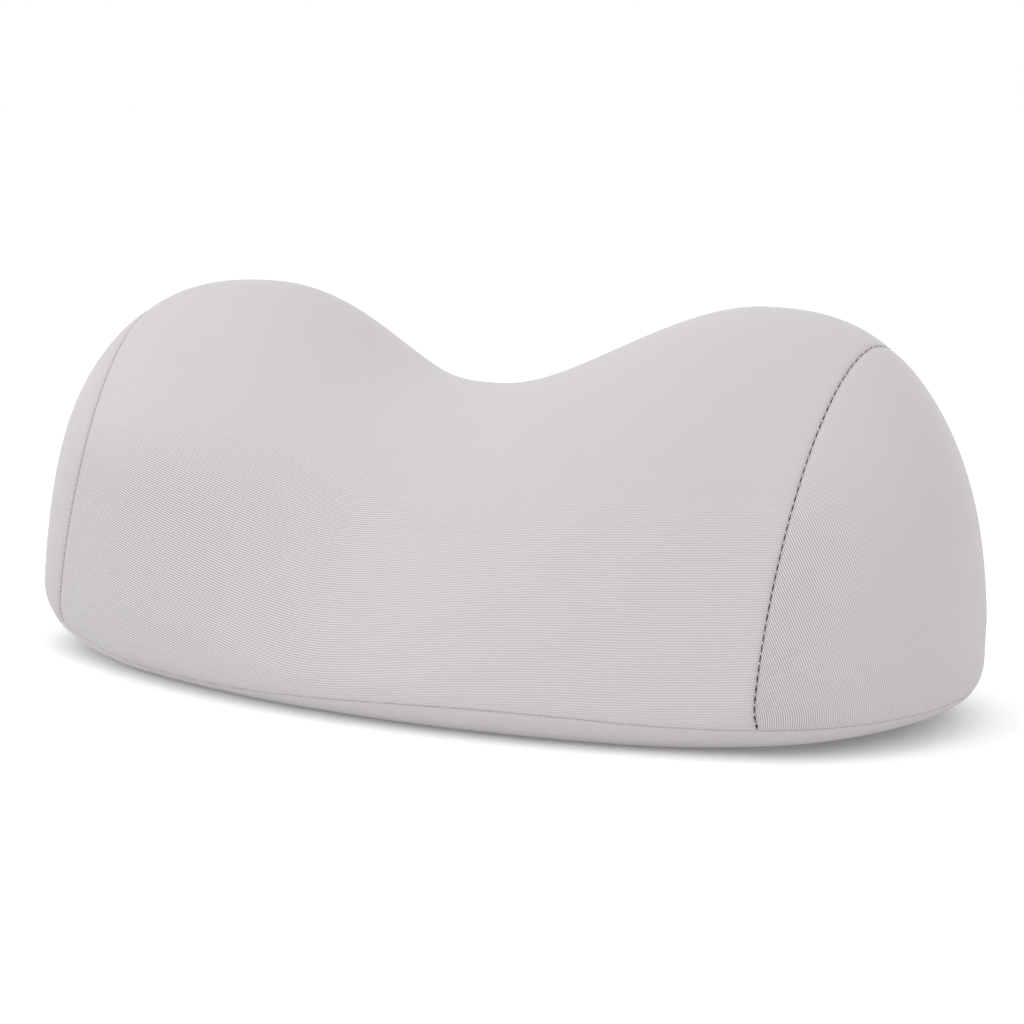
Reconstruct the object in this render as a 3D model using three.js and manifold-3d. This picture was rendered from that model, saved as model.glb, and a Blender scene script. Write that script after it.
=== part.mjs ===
// Saddle-shaped neck traction pillow. A moulded foam core sits in a thin sewn liner, inside a knit
// cover of four panels that closes with a coil zip along the back.
// Lengths are millimetres. +X runs across the neck, -Y is the front and +Z is up.
// The origin is at the middle of the flat base.

import * as THREE from 'three';
import { mergeVertices } from 'three/addons/utils/BufferGeometryUtils.js';
import Module from 'manifold-3d';

const manifold = await Module();
manifold.setup();

// ---------------------------------------------------------------- driving dimensions

const LENGTH = 320;
const END_BULGE = 34; // an end panel stands this far out of its seam near the base
const SEAM_X = LENGTH / 2 - END_BULGE;

// Half depths from the crest, in the middle and at the end seams. The band is a stretch of upright
// wall between the base's rounded edge and the arch, where the zip lies.
const FRONT = { sign: -1, middle: 86.5, seam: 59.5, band: 0 };
const BACK = { sign: 1, middle: 73.5, seam: 51, band: 12 };

// The crest line, seen from the front: a valley for the neck between two humps.
const VALLEY_HEIGHT = 89.6;
const VALLEY_EASE = 1.12; // above 1 the valley's floor is broader than the humps' tops
const LEFT_STEEPNESS = 0.68; // the valley's left side is steeper: 0 is as steep as the right, 1 the most
const VALLEY_SHIFT = -5.3; // the crest line bows forwards over the valley
const HUMP_HEIGHT = 116.6;
const HUMP_X = 91;
const HUMP_SHIFT = 2.7; // and backwards over the humps
const SHOULDER_HEIGHT = 107.9; // of the crest where it meets an end seam
const SHOULDER_SLOPE = -0.66;

// A cross-section is an arch, (y / depth) ^ 2 + (z / height) ^ power = 1, fuller for a larger power.
const ARCH_POWER = { valley: 1.2, hump: 1.7, seam: 1.3 };

const EDGE_RADIUS = 13; // of the rounded edge between wall and base
const END_LIFT = { left: 3.6, right: 2 }; // the base curls up this much at its end seams
const LIFT_START_X = 84; // and is flat between these
const SEAM_HEIGHT = 5.8; // of the base seam along the front and the ends
const SEAM_WANDER = 2.9; // it sinks by this to the left of the middle and rises as much to the right
const SEAM_LEAN = 4.6; // an end seam leans out by this much at the crest
const END_POWER = 3.65; // how squarely an end panel closes over at the top

// Depths under the outer surface, from the cover in to the core.
const COVER = { outer: 0, inner: 1.2 };
const TAPE = { outer: 1.5, inner: 2.1 };
const LABEL = { outer: 1.6, inner: 2.0 };
const LINER = { outer: 2.4, inner: 3.0 };
const CORE_DEPTH = 3.3;

const PANEL_EDGE_GAP = 0.6; // from a seam line to each panel's edge
const LINER_EDGE_GAP = 0.2;
const THREAD = { halfWidth: 0.25, outer: 0.3, inner: 0.9 };
const THREAD_END_GAP = 1.1; // an end seam's thread stops this far from the base seam

// The zip: a coil chain on two tapes, with its slider at the closed end.
const ZIP_COLUMNS = 8; // grid columns on each side of the middle
const ZIP_HALF_SLOT = 3.9; // from the zip line to each panel's edge
const ZIP_RELIEF = 2; // the foam gives way by this much behind the slider
const CHAIN_HALF_GAP = 0.55;
const COIL = { halfHeight: 2.35, outer: 0.2, inner: 1.2 };
const STOP = { length: 2.4, halfHeight: 2.4, outer: 0.1, inner: 1.2, clearance: 0.6 };
const SLIDER = {
  length: 8.4,
  outerPlate: [0.1, 0.9], // the two faces of a plate, measured outwards from the cover
  innerPlate: [-3.1, -2.4],
  halfHeight: 3.4,
  innerHalfHeight: 2.2,
  lip: { thickness: 0.6, reach: 1.1 },
  neckHalfWidth: 0.25,
  endClearance: 3,
};
const BRIDGE = { halfLength: 2.9, leg: 0.8, top: 3.1, tunnelTop: 2.3, halfWidth: 0.8, bevel: 0.8 };
const PULL = {
  pivotOut: 1.6, // the pivot's distance out from the cover
  bar: 0.8,
  halfWidth: 2.2,
  length: 24,
  eyeLength: 3.7,
  eyeHalfWidth: 1.15,
  holeRadius: 1.1,
  holeInset: 3.6,
};

// The grid that every layer is built on.
const COLUMNS = 24; // along the pillow, between the end seams
const ROWS = 10; // from the base seam up to the crest
const RINGS = 4; // from the base seam down to the flat base
const ARCS = 8; // around an end panel
const FIRST_ARCH_ANGLE = THREE.MathUtils.degToRad(17);

const COLUMN_STEP = (2 * SEAM_X) / COLUMNS;
const ZIP_HEIGHT = EDGE_RADIUS + BACK.band / 2;
const ZIP_HALF_LENGTH = ZIP_COLUMNS * COLUMN_STEP;

// ---------------------------------------------------------------- the outer surface as formulas

const smoothStep = (t) => t * t * (3 - 2 * t);
const steepStep = (t) => t ** 3 * (10 - 15 * t + 6 * t * t);
const mix = (a, b, t) => a + (b - a) * t;
const clamp01 = (t) => Math.min(1, Math.max(0, t));

// The plan outline on one side is a circular arc through the middle and both end seams.
function arcRadius(side) {
  const sagitta = side.middle - side.seam;
  return (SEAM_X ** 2 + sagitta ** 2) / (2 * sagitta);
}

function halfDepth(x, side) {
  const radius = arcRadius(side);
  return side.middle - radius + Math.sqrt(radius ** 2 - x ** 2);
}

function crestHeight(x) {
  const away = Math.abs(x);
  if (away < HUMP_X) {
    const eased = (away / HUMP_X) ** VALLEY_EASE;
    const climb = mix(smoothStep(eased), steepStep(eased), x < 0 ? LEFT_STEEPNESS : 0);
    return mix(VALLEY_HEIGHT, HUMP_HEIGHT, climb);
  }
  const span = SEAM_X - HUMP_X;
  const t = (away - HUMP_X) / span;
  const fall = mix(HUMP_HEIGHT, SHOULDER_HEIGHT, smoothStep(t));
  return fall + (t ** 3 - t ** 2) * span * SHOULDER_SLOPE;
}

function crestShift(x) {
  const rise = (crestHeight(x) - VALLEY_HEIGHT) / (HUMP_HEIGHT - VALLEY_HEIGHT);
  return mix(VALLEY_SHIFT, HUMP_SHIFT, rise);
}

function archPower(x) {
  const away = Math.abs(x);
  if (away < HUMP_X) {
    return mix(ARCH_POWER.valley, ARCH_POWER.hump, smoothStep(away / HUMP_X));
  }
  return mix(ARCH_POWER.hump, ARCH_POWER.seam, smoothStep((away - HUMP_X) / (SEAM_X - HUMP_X)));
}

const endLift = (x) => (x < 0 ? END_LIFT.left : END_LIFT.right);

function baseLift(x) {
  const t = Math.max(0, (Math.abs(x) - LIFT_START_X) / (SEAM_X - LIFT_START_X));
  return endLift(x) * t ** 2;
}

// How far the rounded edge of the base pulls in at a height above the base.
function edgeInset(height) {
  const below = Math.max(0, EDGE_RADIUS - height);
  return EDGE_RADIUS - Math.sqrt(EDGE_RADIUS ** 2 - below ** 2);
}

function skinPoint(x, z, side) {
  const lift = baseLift(x);
  const archBase = lift + EDGE_RADIUS + side.band;
  const climb = clamp01((z - archBase) / (crestHeight(x) - archBase));
  const reach = halfDepth(x, side) * Math.sqrt(1 - climb ** archPower(x)) - edgeInset(z - lift);
  const y = side.sign * reach + crestShift(x) * climb;
  const lean = SEAM_LEAN * (z / SHOULDER_HEIGHT) ** 2 * (x / SEAM_X) ** 4 * Math.sign(x);
  return new THREE.Vector3(x + lean, y, z);
}

// The base seam runs low along the front and the ends, and climbs to the zip at the back.
function seamHeight(x, side) {
  if (side === FRONT) {
    return SEAM_HEIGHT + SEAM_WANDER * Math.sin((x / SEAM_X) * Math.PI);
  }
  const t = clamp01((SEAM_X - Math.abs(x)) / (SEAM_X - ZIP_HALF_LENGTH));
  return mix(SEAM_HEIGHT, ZIP_HEIGHT, smoothStep(t));
}

// Grid heights of one side at x, from the edge of the flat base, by the base seam, to the crest.
function levelHeights(x, side) {
  const lift = baseLift(x);
  const seam = seamHeight(x, side);
  const firstRing = (seam * EDGE_RADIUS) / ZIP_HEIGHT;
  const firstAngle = Math.acos(1 - firstRing / EDGE_RADIUS);
  const heights = [];
  for (let ring = 0; ring < RINGS; ring += 1) {
    const angle = (firstAngle * ring) / (RINGS - 1);
    heights.push(lift + EDGE_RADIUS * (1 - Math.cos(angle)));
  }
  heights.push(lift + seam);
  const archBase = lift + EDGE_RADIUS + side.band;
  heights.push(archBase);
  for (let row = 2; row <= ROWS; row += 1) {
    const angle = mix(FIRST_ARCH_ANGLE, Math.PI / 2, (row - 2) / (ROWS - 2));
    const climb = Math.sin(angle) ** (2 / archPower(x));
    heights.push(mix(archBase, crestHeight(x), climb));
  }
  return heights;
}

const TOP_LEVEL = RINGS + ROWS;

// How far an end panel bulges past its seam at a height. The end is -1 for the left and 1 for the right.
function endBulge(end, z) {
  const lift = endLift(end);
  const climb = clamp01((z - lift) / (SHOULDER_HEIGHT - lift));
  return END_BULGE * Math.sqrt(1 - climb ** END_POWER) - edgeInset(z - lift);
}

// One level of an end panel: a curve that leaves each end of the seam in line with the main panel.
function endCurve(end, level) {
  const handles = [FRONT, BACK].map((side) => {
    const seamX = end * SEAM_X;
    const innerX = end * (SEAM_X - 1);
    const seamPoint = skinPoint(seamX, levelHeights(seamX, side)[level], side);
    const inner = skinPoint(innerX, levelHeights(innerX, side)[level], side);
    const reach = endBulge(end, seamPoint.z) / 0.75;
    const handle = seamPoint.clone().add(seamPoint.clone().sub(inner).multiplyScalar(reach));
    return [seamPoint, handle];
  });
  const [[frontSeam, frontHandle], [backSeam, backHandle]] = handles;
  const curve = [frontSeam, frontHandle, backHandle, backSeam];
  return new THREE.CubicBezierCurve3(...curve);
}

// ---------------------------------------------------------------- the shared grid

const points = [];
const faces = { main: [], leftEnd: [], rightEnd: [], base: [] };

function addPoint(point) {
  points.push(point);
  return points.length - 1;
}

function addQuad(region, a, b, c, d) {
  [[a, b, c], [a, c, d]].forEach((triangle) => {
    if (new Set(triangle).size === 3) {
      faces[region].push(triangle);
    }
  });
}

const front = [];
const back = [];
for (let column = 0; column <= COLUMNS; column += 1) {
  const x = -SEAM_X + column * COLUMN_STEP;
  const crest = addPoint(skinPoint(x, crestHeight(x), FRONT));
  [[front, FRONT], [back, BACK]].forEach(([rows, side]) => {
    const heights = levelHeights(x, side).slice(0, -1);
    rows.push([...heights.map((z) => addPoint(skinPoint(x, z, side))), crest]);
  });
}

function endRow(end, column, level) {
  const row = [front[column][level]];
  const curve = endCurve(end, level);
  for (let arc = 1; arc < ARCS; arc += 1) {
    row.push(addPoint(curve.getPoint(arc / ARCS)));
  }
  return [...row, back[column][level]];
}

function endRows(end, column) {
  const rows = [];
  for (let level = 0; level < TOP_LEVEL; level += 1) {
    rows.push(endRow(end, column, level));
  }
  rows.push(new Array(ARCS + 1).fill(front[column][TOP_LEVEL]));
  return rows;
}

const leftEnd = endRows(-1, 0);
const rightEnd = endRows(1, COLUMNS);

for (let level = 0; level < TOP_LEVEL; level += 1) {
  const inBase = level < RINGS;
  for (let i = 0; i < COLUMNS; i += 1) {
    const region = inBase ? 'base' : 'main';
    addQuad(region, front[i][level], front[i + 1][level], front[i + 1][level + 1], front[i][level + 1]);
    addQuad(region, back[i + 1][level], back[i][level], back[i][level + 1], back[i + 1][level + 1]);
  }
  const [right, rightAbove] = [rightEnd[level], rightEnd[level + 1]];
  const [left, leftAbove] = [leftEnd[level], leftEnd[level + 1]];
  for (let arc = 0; arc < ARCS; arc += 1) {
    addQuad(inBase ? 'base' : 'rightEnd', right[arc], right[arc + 1], rightAbove[arc + 1], rightAbove[arc]);
    addQuad(inBase ? 'base' : 'leftEnd', left[arc + 1], left[arc], leftAbove[arc], leftAbove[arc + 1]);
  }
}

// The underside, filled from front to back, with the two ends' crescents beside it.
const underside = front.map((rows, column) => {
  const strip = [rows[0]];
  for (let arc = 1; arc < ARCS; arc += 1) {
    strip.push(addPoint(points[rows[0]].clone().lerp(points[back[column][0]], arc / ARCS)));
  }
  return [...strip, back[column][0]];
});
const undersideStrips = [leftEnd[0], ...underside, rightEnd[0]];
for (let i = 0; i + 1 < undersideStrips.length; i += 1) {
  const [near, far] = [undersideStrips[i], undersideStrips[i + 1]];
  for (let arc = 0; arc < ARCS; arc += 1) {
    addQuad('base', near[arc], near[arc + 1], far[arc + 1], far[arc]);
  }
}

const allFaces = Object.values(faces).flat();
const normals = points.map(() => new THREE.Vector3());
allFaces.forEach((triangle) => {
  const [a, b, c] = triangle.map((index) => points[index]);
  const areaNormal = b.clone().sub(a).cross(c.clone().sub(a));
  triangle.forEach((index) => normals[index].add(areaNormal));
});
normals.forEach((normal) => normal.normalize());

const zipColumns = [];
for (let column = COLUMNS / 2 - ZIP_COLUMNS; column <= COLUMNS / 2 + ZIP_COLUMNS; column += 1) {
  zipColumns.push(column);
}
const zipLine = new Set(zipColumns.map((column) => back[column][RINGS]));

// ---------------------------------------------------------------- solids made on the grid

function toGeometry(vertices, triangles) {
  const geometry = new THREE.BufferGeometry();
  const positions = vertices.flatMap((vertex) => [vertex.x, vertex.y, vertex.z]);
  geometry.setAttribute('position', new THREE.Float32BufferAttribute(positions, 3));
  geometry.setIndex(triangles.flat());
  geometry.computeVertexNormals();
  return geometry;
}

function relief(index) {
  return zipLine.has(index) ? ZIP_RELIEF : 0;
}

// The directed edges that only one triangle of a face set has, with the in-surface inward direction.
function openEdges(triangles) {
  const edges = new Map();
  triangles.forEach((triangle) => {
    const [a, b, c] = triangle.map((index) => points[index]);
    const faceNormal = b.clone().sub(a).cross(c.clone().sub(a)).normalize();
    triangle.forEach((from, corner) => {
      const to = triangle[(corner + 1) % 3];
      if (!edges.delete(`${to},${from}`)) {
        const along = points[to].clone().sub(points[from]).normalize();
        edges.set(`${from},${to}`, { from, to, inward: faceNormal.clone().cross(along) });
      }
    });
  });
  return [...edges.values()];
}

// A sheet of the surface with thickness, drawn back from its own edges by gapAt(vertex).
function sheetSolid(triangles, layer, gapAt, extraDepth = () => 0) {
  const edges = openEdges(triangles);
  const inwardAt = new Map();
  edges.forEach(({ from, to, inward }) => {
    [from, to].forEach((index) => inwardAt.set(index, [...(inwardAt.get(index) ?? []), inward]));
  });
  const used = [...new Set(triangles.flat())];
  const local = new Map(used.map((index, order) => [index, order]));
  const place = (index, depth) => {
    const point = points[index].clone();
    point.addScaledVector(normals[index], -(depth + extraDepth(index)));
    const [first, second] = inwardAt.get(index) ?? [];
    if (second) {
      const miter = first.clone().add(second).divideScalar(1 + first.dot(second));
      point.addScaledVector(miter, gapAt(index));
    }
    return point;
  };
  const outer = used.map((index) => place(index, layer.outer));
  const inner = used.map((index) => place(index, layer.inner));
  const below = used.length;
  const solid = [];
  triangles.forEach((triangle) => {
    const [a, b, c] = triangle.map((index) => local.get(index));
    solid.push([a, b, c], [c + below, b + below, a + below]);
  });
  edges.forEach(({ from, to }) => {
    const [a, b] = [local.get(from), local.get(to)];
    solid.push([b, a, a + below], [b, a + below, b + below]);
  });
  return toGeometry([...outer, ...inner], solid);
}

function coreSolid() {
  const vertices = points.map((point, index) => {
    return point.clone().addScaledVector(normals[index], -(CORE_DEPTH + relief(index)));
  });
  return toGeometry(vertices, allFaces);
}

// A bar swept along frames, each with an origin, an across and an outward direction. The profile is
// a rectangle given by its low and high corners in (across, outward).
function barSolid(frames, [acrossLow, outLow], [acrossHigh, outHigh]) {
  const corners = [[acrossLow, outLow], [acrossHigh, outLow], [acrossHigh, outHigh], [acrossLow, outHigh]];
  const vertices = frames.flatMap(({ origin, across, outward }) => corners.map(([a, o]) => {
    return origin.clone().addScaledVector(across, a).addScaledVector(outward, o);
  }));
  const triangles = [];
  for (let i = 0; i + 1 < frames.length; i += 1) {
    for (let corner = 0; corner < 4; corner += 1) {
      const next = (corner + 1) % 4;
      const [a, b] = [i * 4 + corner, i * 4 + next];
      triangles.push([a, b, b + 4], [a, b + 4, a + 4]);
    }
  }
  const last = vertices.length - 4;
  triangles.push([0, 2, 1], [0, 3, 2], [last, last + 1, last + 2], [last, last + 2, last + 3]);
  return toGeometry(vertices, triangles);
}

// A seam's thread, lying in the groove between two panels, with its path given as grid points.
function threadSolid(path) {
  const frames = path.map(({ point, normal }, i) => {
    const before = path[Math.max(0, i - 1)].point;
    const after = path[Math.min(path.length - 1, i + 1)].point;
    const along = after.clone().sub(before).normalize();
    return { origin: point, outward: normal, across: normal.clone().cross(along).normalize() };
  });
  const { halfWidth, outer, inner } = THREAD;
  return barSolid(frames, [-halfWidth, -inner], [halfWidth, -outer]);
}

const gridPoint = (index) => ({ point: points[index], normal: normals[index] });

function endSeamPath(column) {
  const climb = [];
  for (let level = RINGS; level <= TOP_LEVEL; level += 1) {
    climb.push(front[column][level]);
  }
  for (let level = TOP_LEVEL - 1; level >= RINGS; level -= 1) {
    climb.push(back[column][level]);
  }
  const path = climb.map(gridPoint);
  const trimmed = (from, to) => {
    const t = THREAD_END_GAP / from.point.distanceTo(to.point);
    return { point: from.point.clone().lerp(to.point, t), normal: from.normal.clone().lerp(to.normal, t).normalize() };
  };
  const last = path.length - 1;
  return [trimmed(path[0], path[1]), ...path.slice(1, last), trimmed(path[last], path[last - 1])];
}

// The base seam's thread starts one column past the zip and goes round by the front.
function baseSeamPath() {
  const path = [];
  for (let column = zipColumns.at(-1) + 1; column < COLUMNS; column += 1) {
    path.push(back[column][RINGS]);
  }
  path.push(...rightEnd[RINGS].toReversed());
  for (let column = COLUMNS - 1; column > 0; column -= 1) {
    path.push(front[column][RINGS]);
  }
  path.push(...leftEnd[RINGS]);
  for (let column = 1; column < zipColumns[0]; column += 1) {
    path.push(back[column][RINGS]);
  }
  return path.map(gridPoint);
}

// ---------------------------------------------------------------- the zip

const ZIP_RADIUS = arcRadius(BACK);
const UP = new THREE.Vector3(0, 0, 1);

function zipFrame(x) {
  const angle = Math.asin(x / ZIP_RADIUS);
  const outward = new THREE.Vector3(Math.sin(angle), Math.cos(angle), 0);
  const centre = new THREE.Vector3(0, BACK.middle - ZIP_RADIUS, ZIP_HEIGHT);
  return { origin: centre.addScaledVector(outward, ZIP_RADIUS), across: UP, outward, angle };
}

const STOP_X = ZIP_HALF_LENGTH - STOP.length;
const COIL_END_X = STOP_X - STOP.length / 2 - STOP.clearance;
const SLIDER_X = -(COIL_END_X - SLIDER.endClearance - SLIDER.length / 2);

function coilSolid(sign) {
  const steps = 2 * ZIP_COLUMNS;
  const frames = [];
  for (let step = 0; step <= steps; step += 1) {
    frames.push(zipFrame(mix(COIL_END_X, -COIL_END_X, step / steps)));
  }
  const span = [CHAIN_HALF_GAP * sign, COIL.halfHeight * sign].sort((a, b) => a - b);
  return barSolid(frames, [span[0], -COIL.inner], [span[1], -COIL.outer]);
}

function tapeFaces(above) {
  const corners = new Set(zipColumns.flatMap((column) => {
    return [back[column][RINGS], back[column][RINGS + (above ? 1 : -1)]];
  }));
  return allFaces.filter((triangle) => triangle.every((index) => corners.has(index)));
}

function stopSolid(low, high) {
  const geometry = new THREE.BoxGeometry(STOP.length, STOP.inner - STOP.outer, high - low);
  geometry.translate(0, -(STOP.inner + STOP.outer) / 2, (low + high) / 2);
  return geometry;
}

function toManifold(geometry) {
  const bare = geometry.clone();
  bare.deleteAttribute('normal');
  bare.deleteAttribute('uv');
  const merged = mergeVertices(bare);
  const mesh = new manifold.Mesh({
    numProp: 3,
    vertProperties: new Float32Array(merged.attributes.position.array),
    triVerts: new Uint32Array(merged.index.array),
  });
  return new manifold.Manifold(mesh);
}

function fromManifold(solid) {
  const mesh = solid.getMesh();
  const geometry = new THREE.BufferGeometry();
  geometry.setAttribute('position', new THREE.BufferAttribute(mesh.vertProperties, 3));
  geometry.setIndex(new THREE.BufferAttribute(mesh.triVerts, 1));
  geometry.computeVertexNormals();
  return geometry;
}

// The slider's section across the chain: an outer plate with lips over the coil, a neck between the
// two tapes and an inner plate. The shape's x is height and its y is outward.
function sliderBody() {
  const { halfHeight, innerHalfHeight, lip, neckHalfWidth, outerPlate, innerPlate } = SLIDER;
  const half = [
    [halfHeight, outerPlate[1]],
    [halfHeight, -lip.reach],
    [halfHeight - lip.thickness, -lip.reach],
    [halfHeight - lip.thickness, outerPlate[0]],
    [neckHalfWidth, outerPlate[0]],
    [neckHalfWidth, innerPlate[1]],
    [innerHalfHeight, innerPlate[1]],
    [innerHalfHeight, innerPlate[0]],
  ];
  const mirrored = half.toReversed().map(([x, y]) => [-x, y]);
  const outline = [...half, ...mirrored].map(([x, y]) => new THREE.Vector2(x, y));
  const body = new THREE.ExtrudeGeometry(new THREE.Shape(outline), { depth: SLIDER.length, bevelEnabled: false });
  body.translate(0, 0, -SLIDER.length / 2);
  body.rotateY(Math.PI / 2);
  return body;
}

// The loop on the outer plate that holds the pull tab. The shape's x is along the chain.
function sliderBridge() {
  const { halfLength, leg, top, tunnelTop, halfWidth, bevel } = BRIDGE;
  const foot = (SLIDER.outerPlate[0] + SLIDER.outerPlate[1]) / 2;
  const right = [
    [halfLength - bevel, top],
    [halfLength, top - bevel],
    [halfLength, foot],
    [halfLength - leg, foot],
    [halfLength - leg, tunnelTop],
  ];
  const left = right.toReversed().map(([x, y]) => [-x, y]);
  const outline = [...right, ...left].map(([x, y]) => new THREE.Vector2(x, y));
  const bridge = new THREE.ExtrudeGeometry(new THREE.Shape(outline), { depth: 2 * halfWidth, bevelEnabled: false });
  bridge.translate(0, 0, -halfWidth);
  return bridge;
}

function sliderSolid() {
  return fromManifold(toManifold(sliderBody()).add(toManifold(sliderBridge())));
}

// The pull tab lies flat, with its eye round the bridge and its crossbar on the pivot.
function pullTabSolid() {
  const { bar, halfWidth, length, eyeLength, eyeHalfWidth, holeRadius, holeInset } = PULL;
  const outline = new THREE.Shape();
  outline.moveTo(-bar / 2, -halfWidth);
  outline.lineTo(length - halfWidth, -halfWidth);
  outline.absarc(length - halfWidth, 0, halfWidth, -Math.PI / 2, Math.PI / 2);
  outline.lineTo(-bar / 2, halfWidth);
  outline.closePath();
  const eye = new THREE.Path();
  eye.moveTo(bar / 2, -eyeHalfWidth);
  eye.lineTo(bar / 2, eyeHalfWidth);
  eye.lineTo(eyeLength, eyeHalfWidth);
  eye.lineTo(eyeLength, -eyeHalfWidth);
  eye.closePath();
  const hole = new THREE.Path();
  hole.absarc(length - holeInset, 0, holeRadius, 0, 2 * Math.PI, true);
  outline.holes.push(eye, hole);
  const tab = new THREE.ExtrudeGeometry(outline, { depth: bar, bevelEnabled: false, curveSegments: 10 });
  tab.translate(0, 0, -bar / 2);
  tab.rotateX(Math.PI / 2);
  return tab;
}

// ---------------------------------------------------------------- materials and assembly

const finishes = {
  coverKnit: new THREE.MeshStandardMaterial({ color: 0xcbc7cb, roughness: 0.95, metalness: 0 }),
  linerKnit: new THREE.MeshStandardMaterial({ color: 0xe9e9ea, roughness: 0.95, metalness: 0 }),
  foam: new THREE.MeshStandardMaterial({ color: 0xf0ece0, roughness: 0.9, metalness: 0 }),
  thread: new THREE.MeshStandardMaterial({ color: 0x9b989c, roughness: 0.7, metalness: 0 }),
  tape: new THREE.MeshStandardMaterial({ color: 0xbdb9bd, roughness: 0.9, metalness: 0 }),
  coil: new THREE.MeshStandardMaterial({ color: 0xb4b1b5, roughness: 0.45, metalness: 0 }),
  zipMetal: new THREE.MeshStandardMaterial({ color: 0xb9b7ba, roughness: 0.35, metalness: 0.6 }),
  label: new THREE.MeshStandardMaterial({ color: 0xf4f4f2, roughness: 0.6, metalness: 0 }),
};

function addNode(parent, name, geometry, finish) {
  const mesh = new THREE.Mesh(geometry, finishes[finish]);
  mesh.name = name;
  parent.add(mesh);
  return mesh;
}

function zipGroup(x) {
  const { origin, angle } = zipFrame(x);
  const group = new THREE.Group();
  group.position.copy(origin);
  group.rotation.z = -angle;
  return group;
}

const panelGap = (index) => (zipLine.has(index) ? ZIP_HALF_SLOT : PANEL_EDGE_GAP);
const linerGap = () => LINER_EDGE_GAP;
const tapeGap = (index) => (zipLine.has(index) ? CHAIN_HALF_GAP : LINER_EDGE_GAP);

// The crest line's place, with the origin midway between the front and the back.
const CREST_Y = (FRONT.middle - BACK.middle) / 2;

const pillow = new THREE.Group();
pillow.position.y = CREST_Y;

addNode(pillow, 'foam_core', coreSolid(), 'foam');

const linerTop = [...faces.main, ...faces.leftEnd, ...faces.rightEnd];
addNode(pillow, 'liner_top', sheetSolid(linerTop, LINER, linerGap, relief), 'linerKnit');
addNode(pillow, 'liner_base', sheetSolid(faces.base, LINER, linerGap, relief), 'linerKnit');

addNode(pillow, 'main_panel', sheetSolid(faces.main, COVER, panelGap), 'coverKnit');
addNode(pillow, 'left_end_panel', sheetSolid(faces.leftEnd, COVER, panelGap), 'coverKnit');
addNode(pillow, 'right_end_panel', sheetSolid(faces.rightEnd, COVER, panelGap), 'coverKnit');
addNode(pillow, 'base_panel', sheetSolid(faces.base, COVER, panelGap), 'coverKnit');

addNode(pillow, 'left_seam_thread', threadSolid(endSeamPath(0)), 'thread');
addNode(pillow, 'right_seam_thread', threadSolid(endSeamPath(COLUMNS)), 'thread');
addNode(pillow, 'base_seam_thread', threadSolid(baseSeamPath()), 'thread');

addNode(pillow, 'zip_upper_tape', sheetSolid(tapeFaces(true), TAPE, tapeGap), 'tape');
addNode(pillow, 'zip_lower_tape', sheetSolid(tapeFaces(false), TAPE, tapeGap), 'tape');
addNode(pillow, 'zip_upper_coil', coilSolid(1), 'coil');
addNode(pillow, 'zip_lower_coil', coilSolid(-1), 'coil');

const closedEnd = zipGroup(-STOP_X);
addNode(closedEnd, 'zip_upper_top_stop', stopSolid(CHAIN_HALF_GAP, STOP.halfHeight), 'zipMetal');
addNode(closedEnd, 'zip_lower_top_stop', stopSolid(-STOP.halfHeight, -CHAIN_HALF_GAP), 'zipMetal');
const openEnd = zipGroup(STOP_X);
addNode(openEnd, 'zip_bottom_stop', stopSolid(-STOP.halfHeight, STOP.halfHeight), 'zipMetal');

const slider = zipGroup(SLIDER_X);
addNode(slider, 'zip_slider_body', sliderSolid(), 'zipMetal');
const pullTab = addNode(slider, 'zip_pull_tab', pullTabSolid(), 'zipMetal');
pullTab.position.y = PULL.pivotOut;

// The care label is sewn flat inside the cover, on the back wall above the zip.
const labelCorners = new Set([0, 1, 2].flatMap((step) => {
  return [2, 3].map((row) => back[zipColumns[0] + step][RINGS + row]);
}));
const labelFaces = allFaces.filter((triangle) => triangle.every((index) => labelCorners.has(index)));
addNode(pillow, 'care_label', sheetSolid(labelFaces, LABEL, linerGap), 'label');

pillow.add(closedEnd, openEnd, slider);

export default pillow;
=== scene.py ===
"""Looks for the saddle-shaped neck traction pillow: a taut knit cover with sewn seams and a zip at the back.

Shapes are worked out in millimetres in the crest frame, whose y is 0 on the crest line, and go to
metres in the row frame when a mesh is made.
"""

import math
from types import SimpleNamespace as Sizes

import bmesh
import bpy
import numpy as np
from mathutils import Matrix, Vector
from mathutils.kdtree import KDTree


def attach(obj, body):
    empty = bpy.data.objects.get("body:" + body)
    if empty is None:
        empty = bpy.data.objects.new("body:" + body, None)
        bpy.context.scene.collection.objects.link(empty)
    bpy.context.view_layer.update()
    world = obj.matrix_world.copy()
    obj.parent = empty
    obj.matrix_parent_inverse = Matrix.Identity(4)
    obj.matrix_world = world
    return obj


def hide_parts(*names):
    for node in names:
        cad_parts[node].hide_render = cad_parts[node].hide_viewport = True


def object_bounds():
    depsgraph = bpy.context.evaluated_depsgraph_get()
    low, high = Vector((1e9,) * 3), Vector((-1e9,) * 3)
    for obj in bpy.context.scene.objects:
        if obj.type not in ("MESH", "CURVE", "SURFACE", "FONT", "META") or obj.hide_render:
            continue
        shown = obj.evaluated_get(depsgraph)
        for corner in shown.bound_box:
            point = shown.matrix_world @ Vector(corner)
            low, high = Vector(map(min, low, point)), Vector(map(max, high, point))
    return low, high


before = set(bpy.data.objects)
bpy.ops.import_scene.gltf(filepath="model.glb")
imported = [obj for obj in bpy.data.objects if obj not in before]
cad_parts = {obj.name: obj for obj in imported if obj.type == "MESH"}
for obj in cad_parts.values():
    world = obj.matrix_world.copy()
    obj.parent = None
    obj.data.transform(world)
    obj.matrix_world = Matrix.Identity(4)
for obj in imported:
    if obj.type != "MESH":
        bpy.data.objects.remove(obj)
cad_low, cad_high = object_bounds()
scene = bpy.context.scene

MM = 0.001
TAU = 2 * math.pi

# ---- the pillow's dimensions, in mm

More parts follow.
